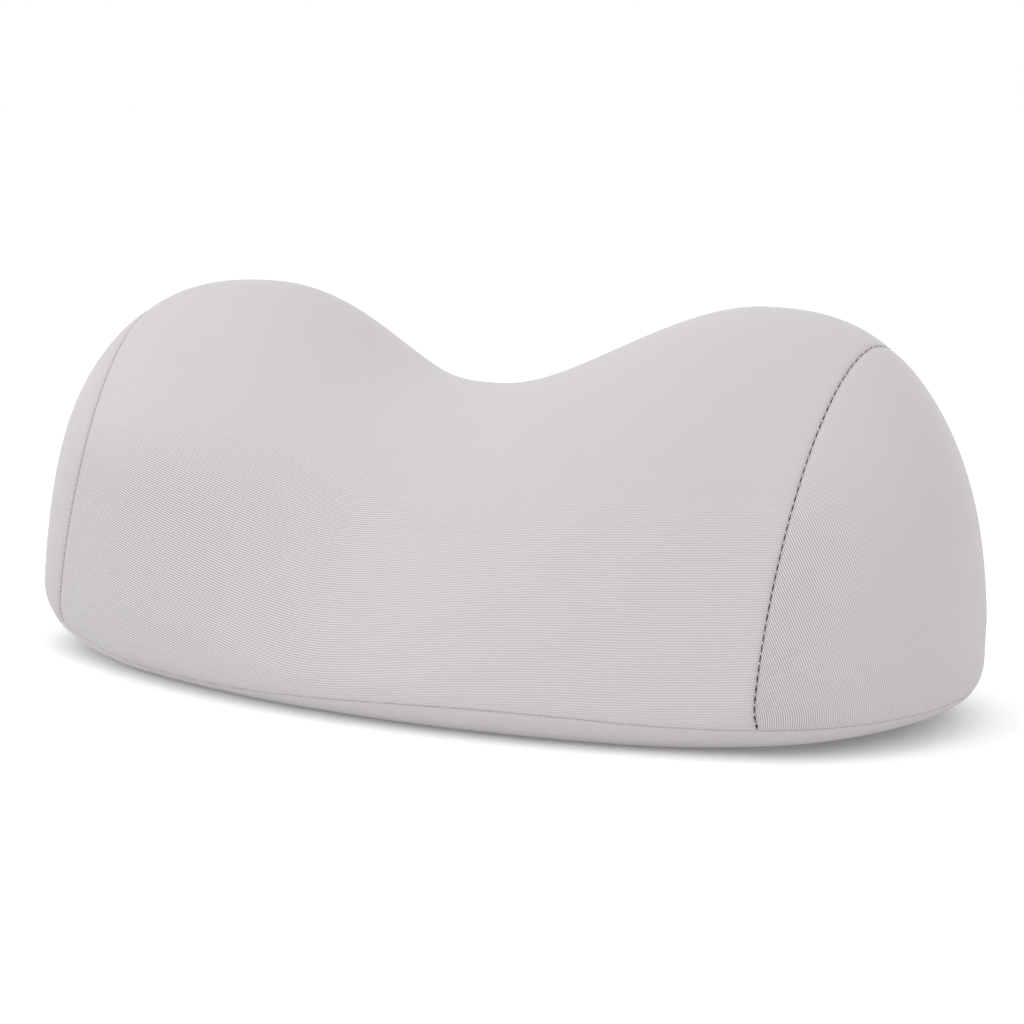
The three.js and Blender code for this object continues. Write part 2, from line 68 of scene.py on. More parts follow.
SEAM_X = 126.0
END_BULGE = 34.0
FRONT = Sizes(sign=-1, middle=86.5, seam=59.5, band=0.0)
BACK = Sizes(sign=1, middle=73.5, seam=51.0, band=12.0)
CREST_Y = (FRONT.middle - BACK.middle) / 2
VALLEY = Sizes(height=89.6, ease=1.12, left_steepness=0.68, shift=-5.3, power=1.2)
HUMP = Sizes(height=116.6, x=91.0, shift=2.7, power=1.7)
SHOULDER = Sizes(height=107.9, slope=-0.66, power=1.3)
EDGE_RADIUS = 13.0
END_LIFT = Sizes(left=3.6, right=2.0)
LIFT_START_X = 84.0
SEAM_HEIGHT = 5.8
SEAM_WANDER = 2.9
SEAM_LEAN = 4.6
END_POWER = 3.65
COVER_THICKNESS = 1.2
ZIP_HEIGHT = EDGE_RADIUS + BACK.band / 2
ZIP_HALF_LENGTH = 84.0
ZIP_HALF_SLOT = 3.9
SLOT_EASE = 6.0  # the length over which the slot closes beyond the zip's end
RING_END = 0.75  # share of the way from the flat base's edge to the base seam that follows the rounded edge
BULGE_SHARE = 0.75  # of its handles' reach that a cubic curve's middle has

# ---- the outer surface as formulas


def mix(a, b, t):
    return a + (b - a) * t


def unit(v):
    return v / np.maximum(np.linalg.norm(v, axis=-1, keepdims=True), 1e-12)


def smooth_step(t):
    t = np.clip(t, 0, 1)
    return t * t * (3 - 2 * t)


def steep_step(t):
    t = np.clip(t, 0, 1)
    return t**3 * (10 - 15 * t + 6 * t * t)


def arc_radius(side):
    sagitta = side.middle - side.seam
    return (SEAM_X**2 + sagitta**2) / (2 * sagitta)


def half_depth(x, side):
    radius = arc_radius(side)
    return side.middle - radius + np.sqrt(radius**2 - x**2)


def crest_height(x):
    away = np.abs(x)
    eased = np.clip(away / HUMP.x, 0, 1) ** VALLEY.ease
    steepness = np.where(x < 0, VALLEY.left_steepness, 0)
    climb = mix(smooth_step(eased), steep_step(eased), steepness)
    inner = mix(VALLEY.height, HUMP.height, climb)
    span = SEAM_X - HUMP.x
    t = np.clip((away - HUMP.x) / span, 0, None)
    fall = mix(HUMP.height, SHOULDER.height, smooth_step(t))
    outer = fall + (t**3 - t**2) * span * SHOULDER.slope
    return np.where(away < HUMP.x, inner, outer)


def crest_shift(x):
    rise = (crest_height(x) - VALLEY.height) / (HUMP.height - VALLEY.height)
    return mix(VALLEY.shift, HUMP.shift, rise)


def arch_power(x):
    away = np.abs(x)
    inner = mix(VALLEY.power, HUMP.power, smooth_step(away / HUMP.x))
    t = (away - HUMP.x) / (SEAM_X - HUMP.x)
    outer = mix(HUMP.power, SHOULDER.power, smooth_step(t))
    return np.where(away < HUMP.x, inner, outer)


def end_lift(x):
    return np.where(x < 0, END_LIFT.left, END_LIFT.right)


def base_lift(x):
    t = np.clip((np.abs(x) - LIFT_START_X) / (SEAM_X - LIFT_START_X), 0, 1)
    return end_lift(x) * t**2


def edge_inset(height):
    below = np.clip(EDGE_RADIUS - height, 0, EDGE_RADIUS)
    return EDGE_RADIUS - np.sqrt(EDGE_RADIUS**2 - below**2)


def skin(x, z, side):
    """The point of the outer surface at x and z, on the front or the back."""
    x, z = np.broadcast_arrays(np.asarray(x, float), np.asarray(z, float))
    lift = base_lift(x)
    arch_base = lift + EDGE_RADIUS + side.band
    climb = np.clip((z - arch_base) / (crest_height(x) - arch_base), 0, 1)
    arch = np.sqrt(np.clip(1 - climb ** arch_power(x), 0, 1))
    reach = half_depth(x, side) * arch - edge_inset(z - lift)
    y = side.sign * reach + crest_shift(x) * climb
    lean = SEAM_LEAN * (z / SHOULDER.height) ** 2 * (x / SEAM_X) ** 4 * np.sign(x)
    return np.stack([x + lean, y, z], -1)


def seam_height(x, side):
    if side is FRONT:
        return SEAM_HEIGHT + SEAM_WANDER * np.sin(x / SEAM_X * math.pi)
    t = (SEAM_X - np.abs(x)) / (SEAM_X - ZIP_HALF_LENGTH)
    return mix(SEAM_HEIGHT, ZIP_HEIGHT, smooth_step(t))


def level_height(x, side, level):
    """Heights by level: -1 is the flat base's edge, 0 the base seam, 1 the foot of the arch, 2 the crest."""
    x, level = np.broadcast_arrays(np.asarray(x, float), np.asarray(level, float))
    lift = base_lift(x)
    seam = seam_height(x, side)
    ring_angle = np.arccos(1 - seam / ZIP_HEIGHT)
    ring = EDGE_RADIUS * (1 - np.cos(ring_angle * np.clip((level + 1) / RING_END, 0, 1)))
    wall_share = np.clip((level + 1 - RING_END) / (1 - RING_END), 0, 1)
    wall = mix(seam * EDGE_RADIUS / ZIP_HEIGHT, seam, wall_share)
    below = lift + np.where(level < RING_END - 1, ring, wall)
    arch_base = lift + EDGE_RADIUS + side.band
    foot = mix(lift + seam, arch_base, np.clip(level, 0, 1))
    climb = np.sin(np.clip(level - 1, 0, 1) * math.pi / 2) ** (2 / arch_power(x))
    arch = mix(arch_base, crest_height(x), climb)
    return np.where(level <= 0, below, np.where(level <= 1, foot, arch))


def side_point(x, side, level):
    return skin(x, level_height(x, side, level), side)


def end_bulge(end, z):
    lift = end_lift(end)
    climb = np.clip((z - lift) / (SHOULDER.height - lift), 0, 1)
    return END_BULGE * np.sqrt(1 - climb**END_POWER) - edge_inset(z - lift)


def end_curves(end, front_levels, back_levels, t):
    """Points (levels, t) of an end panel: each level runs from the front seam round to the back seam."""
    corners = []
    for side, levels in ((FRONT, front_levels), (BACK, back_levels)):
        seam = side_point(end * SEAM_X, side, levels)
        inner = side_point(end * (SEAM_X - 1), side, levels)
        reach = end_bulge(end, seam[:, 2]) / BULGE_SHARE
        corners.append((seam, seam + (seam - inner) * reach[:, None]))
    (a, b), (d, c) = corners
    t = np.asarray(t, float)
    if t.ndim == 1:
        t = np.broadcast_to(t, (len(a), len(t)))
    weights = [(1 - t) ** 3, 3 * t * (1 - t) ** 2, 3 * t**2 * (1 - t), t**3]
    return sum(w[..., None] * p[:, None, :] for w, p in zip(weights, (a, b, c, d)))


# ---- places along a length

PITCH = 2.8  # of the seams' stitches
EDGE_STEPS = np.array([0, 0.35, 0.8, 1.4, 2.1, 2.8, 4.2, 5.6])
EDGE_PITCHES = EDGE_STEPS[-1] / PITCH


class Spacing:
    """Places along a seam: close together near its ends, and then two to a stitch."""

    def __init__(self, length, stitches=None):
        self.length = length
        middle = length - 2 * EDGE_STEPS[-1]
        self.stitches = stitches or round(middle / PITCH)
        count = 2 * self.stitches
        inner = EDGE_STEPS[-1] + middle * np.arange(1, count) / count
        self.places = np.concatenate([EDGE_STEPS, inner, length - EDGE_STEPS[::-1]])
        knots = [0, EDGE_STEPS[-1], length - EDGE_STEPS[-1], length]
        counts = EDGE_PITCHES * np.array([0, 1, 1, 2]) + self.stitches * np.array([0, 0, 1, 1])
        self.phases = np.interp(self.places, knots, counts)  # stitches counted along the seam


def arc_lengths(points):
    steps = np.linalg.norm(np.diff(points, axis=0), axis=1)
    return np.concatenate([[0], np.cumsum(steps)])


def at_lengths(points, lengths, wanted):
    return np.stack([np.interp(wanted, lengths, points[:, k]) for k in range(3)], -1)


DENSE_LEVELS = np.concatenate([np.linspace(0, 1, 24), 1 + np.linspace(0, 1, 160)[1:]])


def climb_line(x, side):
    """Points up a side from the base seam to the crest, and their lengths over the surface."""
    points = side_point(np.full_like(DENSE_LEVELS, x), side, DENSE_LEVELS)
    return points, arc_lengths(points)


def levels_at(x, side, shares):
    """Levels at shares of the way from the base seam up to the crest, by length over the surface."""
    lengths = climb_line(x, side)[1]
    return np.interp(np.asarray(shares) * lengths[-1], lengths, DENSE_LEVELS)


def section(x, side, shares, start):
    """Points from start (mm above the base seam, over the surface) up to the crest."""
    points, lengths = climb_line(x, side)
    return at_lengths(points, lengths, mix(start, lengths[-1], shares))


def zip_slot(x):
    """How far a panel's edge at the back stands off the zip line."""
    return ZIP_HALF_SLOT * smooth_step((ZIP_HALF_LENGTH + SLOT_EASE - np.abs(x)) / SLOT_EASE)


# ---- the cover's panels as grids of points

across = Spacing(2 * SEAM_X)
column_x = across.places - SEAM_X
front_climb = Spacing(climb_line(SEAM_X, FRONT)[1][-1])
back_climb = Spacing(climb_line(SEAM_X, BACK)[1][-1], front_climb.stitches)
row_shares = front_climb.places / front_climb.length
back_shares = back_climb.places / back_climb.length


def main_grid(xs, front_shares, back_shares, open_zip=True):
    """Rows run from the front base seam over the crest to the back, and columns from left to right."""
    columns = []
    for x in xs:
        front = section(x, FRONT, front_shares, 0)
        back = section(x, BACK, back_shares, zip_slot(x) if open_zip else 0)
        columns.append(np.concatenate([front, back[::-1][1:]]))
    return np.stack(columns, 1)


BEZIER_T = np.linspace(0, 1, 160)
SHORT_ROW = 40.0


def row_places(length, count, fine_steps):
    """Places along one level of an end panel. A short level near the crest squeezes its fine steps."""
    fine = fine_steps * min(1, length / SHORT_ROW)
    middle = np.linspace(fine[-1], length - fine[-1], count - 2 * len(fine) + 2)
    return np.concatenate([fine[:-1], middle, length - fine[:-1][::-1]])


def end_grid(end, front_shares, back_shares, count, fine_steps=EDGE_STEPS):
    front_levels = levels_at(end * SEAM_X, FRONT, front_shares)
    back_levels = levels_at(end * SEAM_X, BACK, back_shares)
    dense = end_curves(end, front_levels, back_levels, BEZIER_T)
    rows = []
    for row in dense:
        lengths = arc_lengths(row)
        rows.append(at_lengths(row, lengths, row_places(lengths[-1], count, fine_steps)))
    return np.stack(rows, 0)


SEAM_LEVEL = np.array([0.0])
end_across = Spacing(arc_lengths(end_curves(1, SEAM_LEVEL, SEAM_LEVEL, BEZIER_T)[0])[-1])
END_COLUMNS = len(end_across.places)

BASE_LEVELS = np.linspace(0, -1, 40)
UNDERSIDE_AXIS_X = 100.0
UNDERSIDE_Y = (BACK.middle - FRONT.middle) / 2


def base_grid(xs, end_places, edge_rows, under_rows, fine_steps=EDGE_STEPS, open_zip=True):
    """Rows run from the base seam down the rounded edge and in under the base, columns all round it."""
    curves = []
    for end in (1, -1):
        lengths = arc_lengths(end_curves(end, SEAM_LEVEL, SEAM_LEVEL, BEZIER_T)[0])
        t = np.interp(end_places / end_places[-1] * lengths[-1], lengths, BEZIER_T)
        curve = end_curves(end, BASE_LEVELS, BASE_LEVELS, t)
        curves.append([curve[:, j] for j in range(1, len(end_places) - 1)])
    right, left = curves
    front, back = ([side_point(x, side, BASE_LEVELS) for x in xs] for side in (FRONT, BACK))
    loops = front + right + back[::-1] + left[::-1]
    starts = np.zeros(len(loops))
    starts[len(front + right) :][: len(xs)] = zip_slot(xs[::-1]) * open_zip
    columns = []
    for points, start in zip(loops, starts):
        lengths = arc_lengths(points)
        rest = np.linspace(0, 1, edge_rows)[1:]
        fine = fine_steps[:-1] if len(fine_steps) > 1 else fine_steps
        places = np.concatenate([start + fine, mix(start + fine[-1], lengths[-1], rest)])
        wall = at_lengths(points, lengths, places)
        edge = wall[-1]
        target = np.array([np.clip(edge[0], -UNDERSIDE_AXIS_X, UNDERSIDE_AXIS_X), UNDERSIDE_Y, 0])
        inward = mix(edge, target, np.linspace(0, 1, under_rows)[1:, None])
        inward[:, 2] = base_lift(inward[:, 0])
        columns.append(np.concatenate([wall, inward]))
    return np.stack(columns, 1)


# ---- meshes from grids


def grid_faces(rows, columns, closed=False):
    index = np.arange(rows * columns).reshape(rows, columns)
    if closed:
        index = np.concatenate([index, index[:, :1]], 1)
    quads = np.stack([index[:-1, :-1], index[:-1, 1:], index[1:, 1:], index[1:, :-1]], -1)
    return quads.reshape(-1, 4)


def weld(points, quads):
    """One vertex for points in the same place. Returns points, faces and each old point's new index."""
    keys = np.round(points * 2000).astype(np.int64)
    _, first, inverse = np.unique(keys, axis=0, return_index=True, return_inverse=True)
    inverse = inverse.reshape(-1)
    order = np.argsort(first)
    rank = np.empty_like(order)
    rank[order] = np.arange(len(order))
    renamed = rank[inverse]
    faces = []
    for quad in renamed[quads].tolist():
        kept = [v for k, v in enumerate(quad) if v != quad[k - 1]]
        if len(set(kept)) >= 3:
            faces.append(kept)
    return points[first[order]], faces, renamed


def vertex_normals(points, faces):
    triangles = np.array([[f[0], f[k], f[k + 1]] for f in faces for k in range(1, len(f) - 1)])
    a, b, c = (points[triangles[:, k]] for k in range(3))
    areas = np.cross(b - a, c - a)
    normals = np.zeros_like(points)
    for k in range(3):
        np.add.at(normals, triangles[:, k], areas)
    return unit(normals)


def open_edges(faces):
    edges = {}
    for face in faces:
        for k, b in enumerate(face):
            a = face[k - 1]
            if (b, a) in edges:
                del edges[(b, a)]
            else:
                edges[(a, b)] = True
    return list(edges)


def to_row_frame(points):
    moved = np.array(points, float)
    moved[:, 1] += CREST_Y
    return moved * MM


def placed(name, data):
    """A new object in the scene."""
    thing = bpy.data.objects.new(name, data)
    scene.collection.objects.link(thing)
    return thing


def make_object(name, points, faces, attributes=None, material=None):
    mesh = bpy.data.meshes.new(name)
    mesh.from_pydata(to_row_frame(points).tolist(), [], faces)
    outward = bmesh.new()
    outward.from_mesh(mesh)
    bmesh.ops.recalc_face_normals(outward, faces=outward.faces)
    outward.to_mesh(mesh)
    outward.free()
    mesh.shade_smooth()
    for key, values in (attributes or {}).items():
        layer = mesh.attributes.new(key, "FLOAT", "POINT")
        layer.data.foreach_set("value", np.asarray(values, np.float32))
    if material:
        mesh.materials.append(material)
    return placed(name, mesh)


def solid_strip(outer, inner, flipped):
    """The closed solid between two grids of points."""
    faces = grid_faces(*outer.shape[:2])
    faces = (faces[:, ::-1] if flipped else faces).tolist()
    return solid_sheet(outer.reshape(-1, 3), inner.reshape(-1, 3), faces)


def solid_sheet(outer, inner, faces):
    """The closed solid between two copies of a sheet."""
    below = len(outer)
    made = [list(f) for f in faces]
    made += [[v + below for v in reversed(f)] for f in faces]
    made += [[b, a, a + below, b + below] for a, b in open_edges(faces)]
    return np.concatenate([outer, inner]), made


# ---- seams

SEAM_SAMPLE = 0.25  # mm between the points kept of a seam's line
seam_lines = []


def along(points, phases, seam, wider=1.0):
    """Keeps a seam's line, with its stitch count, how deep it dips and how far it gapes."""
    lengths = arc_lengths(points)
    wanted = np.arange(0, lengths[-1], SEAM_SAMPLE)
    gaps = np.broadcast_to(seam.gap * wider, lengths.shape)
    depths = np.full(len(wanted), seam.depth)
    places = at_lengths(points, lengths, wanted)
    seam_lines.append((places, np.interp(wanted, lengths, phases), depths, np.interp(wanted, lengths, gaps)))


END_SEAM = Sizes(depth=0.7, gap=0.25, wider_low=0.6, low_reach=14.0)
BASE_SEAM = Sizes(depth=0.45, gap=0.12)

main = main_grid(column_x, row_shares, back_shares)
right_end = end_grid(1, row_shares, back_shares, END_COLUMNS)
left_end = end_grid(-1, row_shares, back_shares, END_COLUMNS)
base = base_grid(column_x, end_across.places, 8, 16)

from_crest = back_climb.phases[-1] - back_climb.phases[::-1][1:]
climb_phase = np.concatenate([front_climb.phases, front_climb.phases[-1] + from_crest])

for seam in (main[:, 0], main[:, -1]):
    near_base = np.exp(-(seam[:, 2] - SEAM_HEIGHT) / END_SEAM.low_reach)
    along(seam, climb_phase, END_SEAM, 1 + END_SEAM.wider_low * near_base)

base_line = base[0]
past_front = len(column_x)
past_right = past_front + END_COLUMNS - 2
past_back = past_right + len(column_x)
ring = np.append(np.arange(len(base_line)), 0)
front_part = ring[:past_front]
right_part = ring[past_front - 1 : past_right + 1]
back_part = ring[past_right:past_back]
left_part = ring[past_back - 1 :]
base_runs = [(front_part, across.phases), (right_part, end_across.phases), (left_part, end_across.phases)]
for sign in (1, -1):
    sewn_shut = sign * base_line[back_part, 0] > ZIP_HALF_LENGTH + SLOT_EASE
    base_runs.append((back_part[sewn_shut], across.phases[sewn_shut]))
for run, phases in base_runs:
    along(base_line[run], phases, BASE_SEAM)

seam_points, seam_phases, seam_depths, seam_gaps = (np.concatenate(kept) for kept in zip(*seam_lines))
seam_tree = KDTree(len(seam_points))
for order, point in enumerate(seam_points):
    seam_tree.insert(point, order)
seam_tree.balance()


def nearest_seam(points):
    """Each point's nearest place on a seam, and how far off it is."""
    found = [seam_tree.find(p) for p in points]
    return np.array([f[1] for f in found]), np.array([f[2] for f in found])


DIP_REACH = 1.0  # mm over which the cloth turns down into a seam
TUCK = Sizes(depth=0.16, reach=2.4)  # what each stitch pulls in
SHIFT_REACH = 0.8
PUCKER = Sizes(middle=-70.0, half=45.0, top=30.0, pitch=11.0, lean=0.35, depth=0.3, reach=4.0)


def edge_inward(points, faces, normals):
    """Unit directions into the panel at its open edges, and zero elsewhere."""
    inward = np.zeros_like(points)
    for a, b in open_edges(faces):
        sideways = np.cross(normals[a] + normals[b], unit(points[b] - points[a]))
        inward[a] += sideways
        inward[b] += sideways
    return unit(inward)


def sewn(points, faces, normals):
    """What sewing does to a panel's points: how deep they dip, and where they shift to."""
    order, distance = nearest_seam(points)
    pull = (1 + np.cos(TAU * seam_phases[order])) / 2
    away = points - seam_points[order]
    away -= normals * np.sum(away * normals, 1, keepdims=True)
    off_seam = np.linalg.norm(away, axis=1, keepdims=True) > 0.2
    direction = np.where(off_seam, unit(away), edge_inward(points, faces, normals))
    gape = smooth_step((1 - pull) / 0.7)
    shift = seam_gaps[order] * (0.1 + 0.9 * gape) * np.exp(-distance / SHIFT_REACH)
    depth = seam_depths[order] * np.exp(-distance / DIP_REACH)
    depth += TUCK.depth * pull * np.exp(-distance / TUCK.reach)
    x, y, z = points.T
    puckered = np.exp(-(((x - PUCKER.middle) / PUCKER.half) ** 2)) * (y < 0) * (z < PUCKER.top)
    crease = (1 + np.cos(TAU * (x + PUCKER.lean * z) / PUCKER.pitch)) / 2
    depth += PUCKER.depth * puckered * crease * np.exp(-distance / PUCKER.reach)
    return depth, direction * shift[:, None]


MIDDLE = np.array([0, 0, 50.0])  # a point inside the pillow


def weld_panel(grid, closed=False):
    rows, columns = grid.shape[:2]
    points, faces, renamed = weld(grid.reshape(-1, 3), grid_faces(rows, columns, closed))
    normals = vertex_normals(points, faces)
    if np.sum(normals * (points - MIDDLE)) < 0:
        faces = [f[::-1] for f in faces]
        normals = -normals
    return points, faces, normals, renamed


def first_of(values, renamed, count):
    """Grid values carried to welded vertices."""
    carried = np.zeros(count)
    carried[renamed[::-1]] = np.asarray(values, float).reshape(-1)[::-1]
    return carried


# How a rib of the knit leans against the main panel's rows, as a height gained for each mm to the right.
RIB_LEAN = Sizes(rise=0.07, fall=0.31, fall_from=18.0, ease=0.14, ease_from=-45.0, over=45.0)
END_RIB = Sizes(lean=0.4, reach=80.0, finer=1.2)


def rib_offset(x):
    """The height that a rib has gained at x."""
    xs = np.linspace(-SEAM_X - 8, SEAM_X + 8, 540)
    fall = RIB_LEAN.fall * smooth_step((RIB_LEAN.fall_from - xs) / RIB_LEAN.over)
    ease = RIB_LEAN.ease * smooth_step((RIB_LEAN.ease_from - xs) / RIB_LEAN.over)
    slopes = RIB_LEAN.rise - fall + ease
    return np.interp(x, xs, np.cumsum(slopes) * (xs[1] - xs[0]))


def grid_lengths(grid, axis):
    """How far along its row or column each point of a grid lies, over the surface."""
    steps = np.linalg.norm(np.diff(grid, axis=axis), axis=2)
    lengths = np.cumsum(steps, axis=axis)
    pad = np.zeros_like(np.take(lengths, [0], axis))
    return np.concatenate([pad, lengths], axis)


def main_weave(grid):
    climb = grid_lengths(grid, 0)
    return climb - rib_offset(grid[..., 0]), grid[..., 0]


def end_weave(grid):
    run = grid_lengths(grid, 1)
    middle = run[:, -1:] / 2
    widest = run[0, -1] / 2
    place = run - middle + widest
    lean = END_RIB.lean * np.exp(-np.clip(place, 0, None) / END_RIB.reach)
    return (place + lean * grid[..., 2]) * END_RIB.finer, grid[..., 2]


def base_weave(grid):
    y = grid[..., 1] - UNDERSIDE_Y
    return y * (1 + 0.02 * grid[..., 2]), grid[..., 0]


def relief(name, points):
    """How strongly the ribs show, in bump and in painted shade and highlight: less higher up, where the light
    from above washes them out.
    """
    x, y, z = points.T
    # Fades the ribs with height: their painted shade and highlight give way where the light from above falls
    # full on the cover.
    high = 1 - 0.88 * smooth_step((z - 52) / 34)
    if name == "main_panel":
        across_front = mix(1.0, 0.28, smooth_step((x + 92) / 130))
        return np.where(y < crest_shift(x), across_front, 0.6) * high
    if name == "base_panel":
        return np.full(len(points), 0.3)
    round_end = np.clip((np.abs(x) - SEAM_X) / END_BULGE, 0, 1)
    return mix(0.85, 0.3, smooth_step(round_end)) * (1 - 0.85 * smooth_step((z - 50) / 40))


panels = {
    "main_panel": (main, main_weave(main), False),
    "left_end_panel": (left_end, end_weave(left_end), False),
    "right_end_panel": (right_end, end_weave(right_end), False),
    "base_panel": (base, base_weave(base), True),
}

# ---- the cover blown tight


class Shell:
    """The whole outer surface as one closed mesh with no zip cut in it."""

    def __init__(self, column_count, row_count, end_count, edge_rows, under_rows):
        one = np.array([0.0])
        xs = np.linspace(-SEAM_X, SEAM_X, column_count)
        shares = np.linspace(0, 1, row_count)
        top = main_grid(xs, shares, shares, open_zip=False)
        right = end_grid(1, shares, shares, end_count, one)
        left = end_grid(-1, shares, shares, end_count, one)
        for grid, column in ((right, -1), (left, 0)):
            grid[:, 0] = top[:row_count, column]
            grid[:, -1] = top[::-1][:row_count, column]
        under = base_grid(xs, np.linspace(0, 1, end_count), edge_rows, under_rows, one, open_zip=False)
        under[0] = np.concatenate([top[0], right[0, 1:-1], top[-1][::-1], left[0, 1:-1][::-1]])
        names = ("main_panel", "right_end_panel", "left_end_panel", "base_panel")
        self.grids = dict(zip(names, (top, right, left, under)))
        quads = []
        self.starts = {}
        count = 0
        for name, grid in self.grids.items():
            made = grid_faces(*grid.shape[:2], name == "base_panel")
            facing_out = made if name in names[:2] else made[:, ::-1]
            quads.append(facing_out + count)
            self.starts[name] = count
            count += grid.shape[0] * grid.shape[1]
        points = np.concatenate([g.reshape(-1, 3) for g in self.grids.values()])
        self.points, self.faces, self.renamed = weld(points, np.concatenate(quads))
        self.normals = vertex_normals(self.points, self.faces)
        self.base_vertices = set(self.renamed[self.starts["base_panel"] :].tolist())

    def on_grid(self, name, values):
        """Values of the welded vertices laid out as one panel's grid."""
        rows, columns = self.grids[name].shape[:2]
        start = self.starts[name]
        return values[self.renamed[start : start + rows * columns]].reshape(rows, columns)


SWELL = Sizes(inset=0.6, limit=0.8, pressure=4.0, frames=20, held_within=4.0)
KNIT_CLOTH = {
    "quality": 6,
    "mass": 0.2,
    "tension_stiffness": 40,
    "compression_stiffness": 40,
    "shear_stiffness": 20,
    "bending_stiffness": 2,
    "use_pressure": True,
}


def blown_tight(shell):
    """How far out each point of the shell settles when the cover's cloth is filled, held at its seams."""
    sheet = make_object("cover_swell", shell.points - shell.normals * SWELL.inset, shell.faces)
    _, distance = nearest_seam(shell.points)
    held = sheet.vertex_groups.new(name="held")
    for vertex in range(len(shell.points)):
        near = max(0.0, 1 - distance[vertex] / SWELL.held_within)
        held.add([vertex], 1.0 if vertex in shell.base_vertices else near, "REPLACE")
    cloth = sheet.modifiers.new("cloth", "CLOTH")
    for setting, value in KNIT_CLOTH.items():
        setattr(cloth.settings, setting, value)
    cloth.settings.uniform_pressure_force = SWELL.pressure
    cloth.settings.vertex_group_mass = "held"
    cloth.settings.effector_weights.gravity = 0
    cloth.point_cache.frame_start = 1
    cloth.point_cache.frame_end = SWELL.frames
    for number in range(1, SWELL.frames + 1):
        scene.frame_set(number)
    graph = bpy.context.evaluated_depsgraph_get()
    settled = sheet.evaluated_get(graph).to_mesh()
    places = np.empty(len(shell.points) * 3, np.float32)
    settled.vertices.foreach_get("co", places)
    moved = places.reshape(-1, 3) - to_row_frame(shell.points)
    bpy.data.objects.remove(sheet)
    scene.frame_set(1)
    out = np.sum(moved * shell.normals, 1) / MM + SWELL.inset
    return np.clip(out, 0, SWELL.limit)


swell = {}
coarse = Shell(44, 22, 22, 4, 9)
settled = blown_tight(coarse)
for name in ("main_panel", "right_end_panel", "left_end_panel"):
    swell[name] = coarse.on_grid(name, settled)


def spread(values, rows, columns):
    """A coarse grid of values carried to finer rows and columns, each from 0 to 1."""
    coarse_rows = np.linspace(0, 1, values.shape[0])
    coarse_columns = np.linspace(0, 1, values.shape[1])
    wide = np.stack([np.interp(columns, coarse_columns, row) for row in values])
    return np.stack([np.interp(rows, coarse_rows, column) for column in wide.T], 1)


main_rows = np.concatenate([row_shares / 2, 1 - back_shares[::-1][1:] / 2])
main_columns = (column_x + SEAM_X) / (2 * SEAM_X)
end_columns = end_across.places / end_across.length
places_of = {
    "main_panel": (main_rows, main_columns),
    "right_end_panel": (row_shares, end_columns),
    "left_end_panel": (row_shares, end_columns),
}

# ---- materials


class Shader:
    """A Principled material whose nodes are added by name."""

    def __init__(self, name, colour, roughness, **sockets):
        self.material = bpy.data.materials.new(name)
        self.material.use_nodes = True
        self.nodes = self.material.node_tree.nodes
        self.links = self.material.node_tree.links
        self.shader = self.nodes["Principled BSDF"]
        fixed = {"Base Color": (*colour, 1), "Roughness": roughness, **sockets}
        for socket, value in fixed.items():
            self.shader.inputs[socket.replace("_", " ")].default_value = value

    def node(self, kind, inputs=None, **settings):
        """A new node with its settings, and its inputs linked or set."""
        made = self.nodes.new("ShaderNode" + kind)
        for key, value in settings.items():
            setattr(made, key, value)
        for socket, value in (inputs or {}).items():
            if isinstance(value, bpy.types.NodeSocket):
                self.links.new(value, made.inputs[socket])
            else:
                made.inputs[socket].default_value = value
        return made

    def math(self, operation, *values):
        return self.node("Math", dict(enumerate(values)), operation=operation).outputs[0]

    def times(self, a, b):
        return self.math("MULTIPLY", a, b)

    def scaled(self, value, by, plus):
        return self.math("MULTIPLY_ADD", value, by, plus)

    def wave(self, turn):
        """The turn's cosine, brought to the range 0 to 1."""
        return self.scaled(self.math("COSINE", turn), 0.5, 0.5)

    def attribute(self, name):
        return self.node("Attribute", attribute_name=name).outputs["Fac"]

    def place(self):
        return self.node("TexCoord").outputs["Object"]

    def noise(self, scale, detail=2.0, roughness=0.5):
        inputs = {"Vector": self.place(), "Scale": scale, "Detail": detail, "Roughness": roughness}
        return self.node("TexNoise", inputs).outputs["Fac"]

    def bands(self, direction, **inputs):
        return self.node("TexWave", inputs, bands_direction=direction).outputs["Fac"]

    def ramp(self, value, *stops):
        made = self.node("ValToRGB", {0: value})
        for element, (position, colour) in zip(made.color_ramp.elements, stops):
            element.position = position
            element.color = (*colour, 1)
        return made.outputs["Color"]

    def blend(self, amount, a, b, mode="MIX"):
        inputs = {0: amount, 6: a, 7: b}
        inputs = {key: (*value, 1) if isinstance(value, tuple) else value for key, value in inputs.items()}
        return self.node("Mix", inputs, data_type="RGBA", blend_type=mode).outputs[2]

    def link(self, output, socket):
        self.links.new(output, self.shader.inputs[socket])

    def colour(self, output):
        self.link(output, "Base Color")

    def rough(self, value, by, plus):
        self.link(self.scaled(value, by, plus), "Roughness")

    def bump(self, height, distance):
        self.link(self.node("Bump", {"Height": height, "Distance": distance}).outputs["Normal"], "Normal")


BLACK = (0, 0, 0)
WHITE = (1, 1, 1)

RIB = 0.71  # mm from one rib of the knit to the next
COURSE = 0.62  # mm from one row of loops to the next

COVER_COLOUR = (0.484, 0.462, 0.478)
COVER_WARM = (0.497, 0.465, 0.469)
# Painted shade darkens the furrows between the knit's ribs and a painted highlight lightens their crowns: how
# strong both are, and the highlight's colour.
RIB_SHADE = 0.46
RIB_HIGHLIGHT = (0.98, 0.95, 0.97)
THREAD_COLOUR = (0.8, 0.785, 0.8)


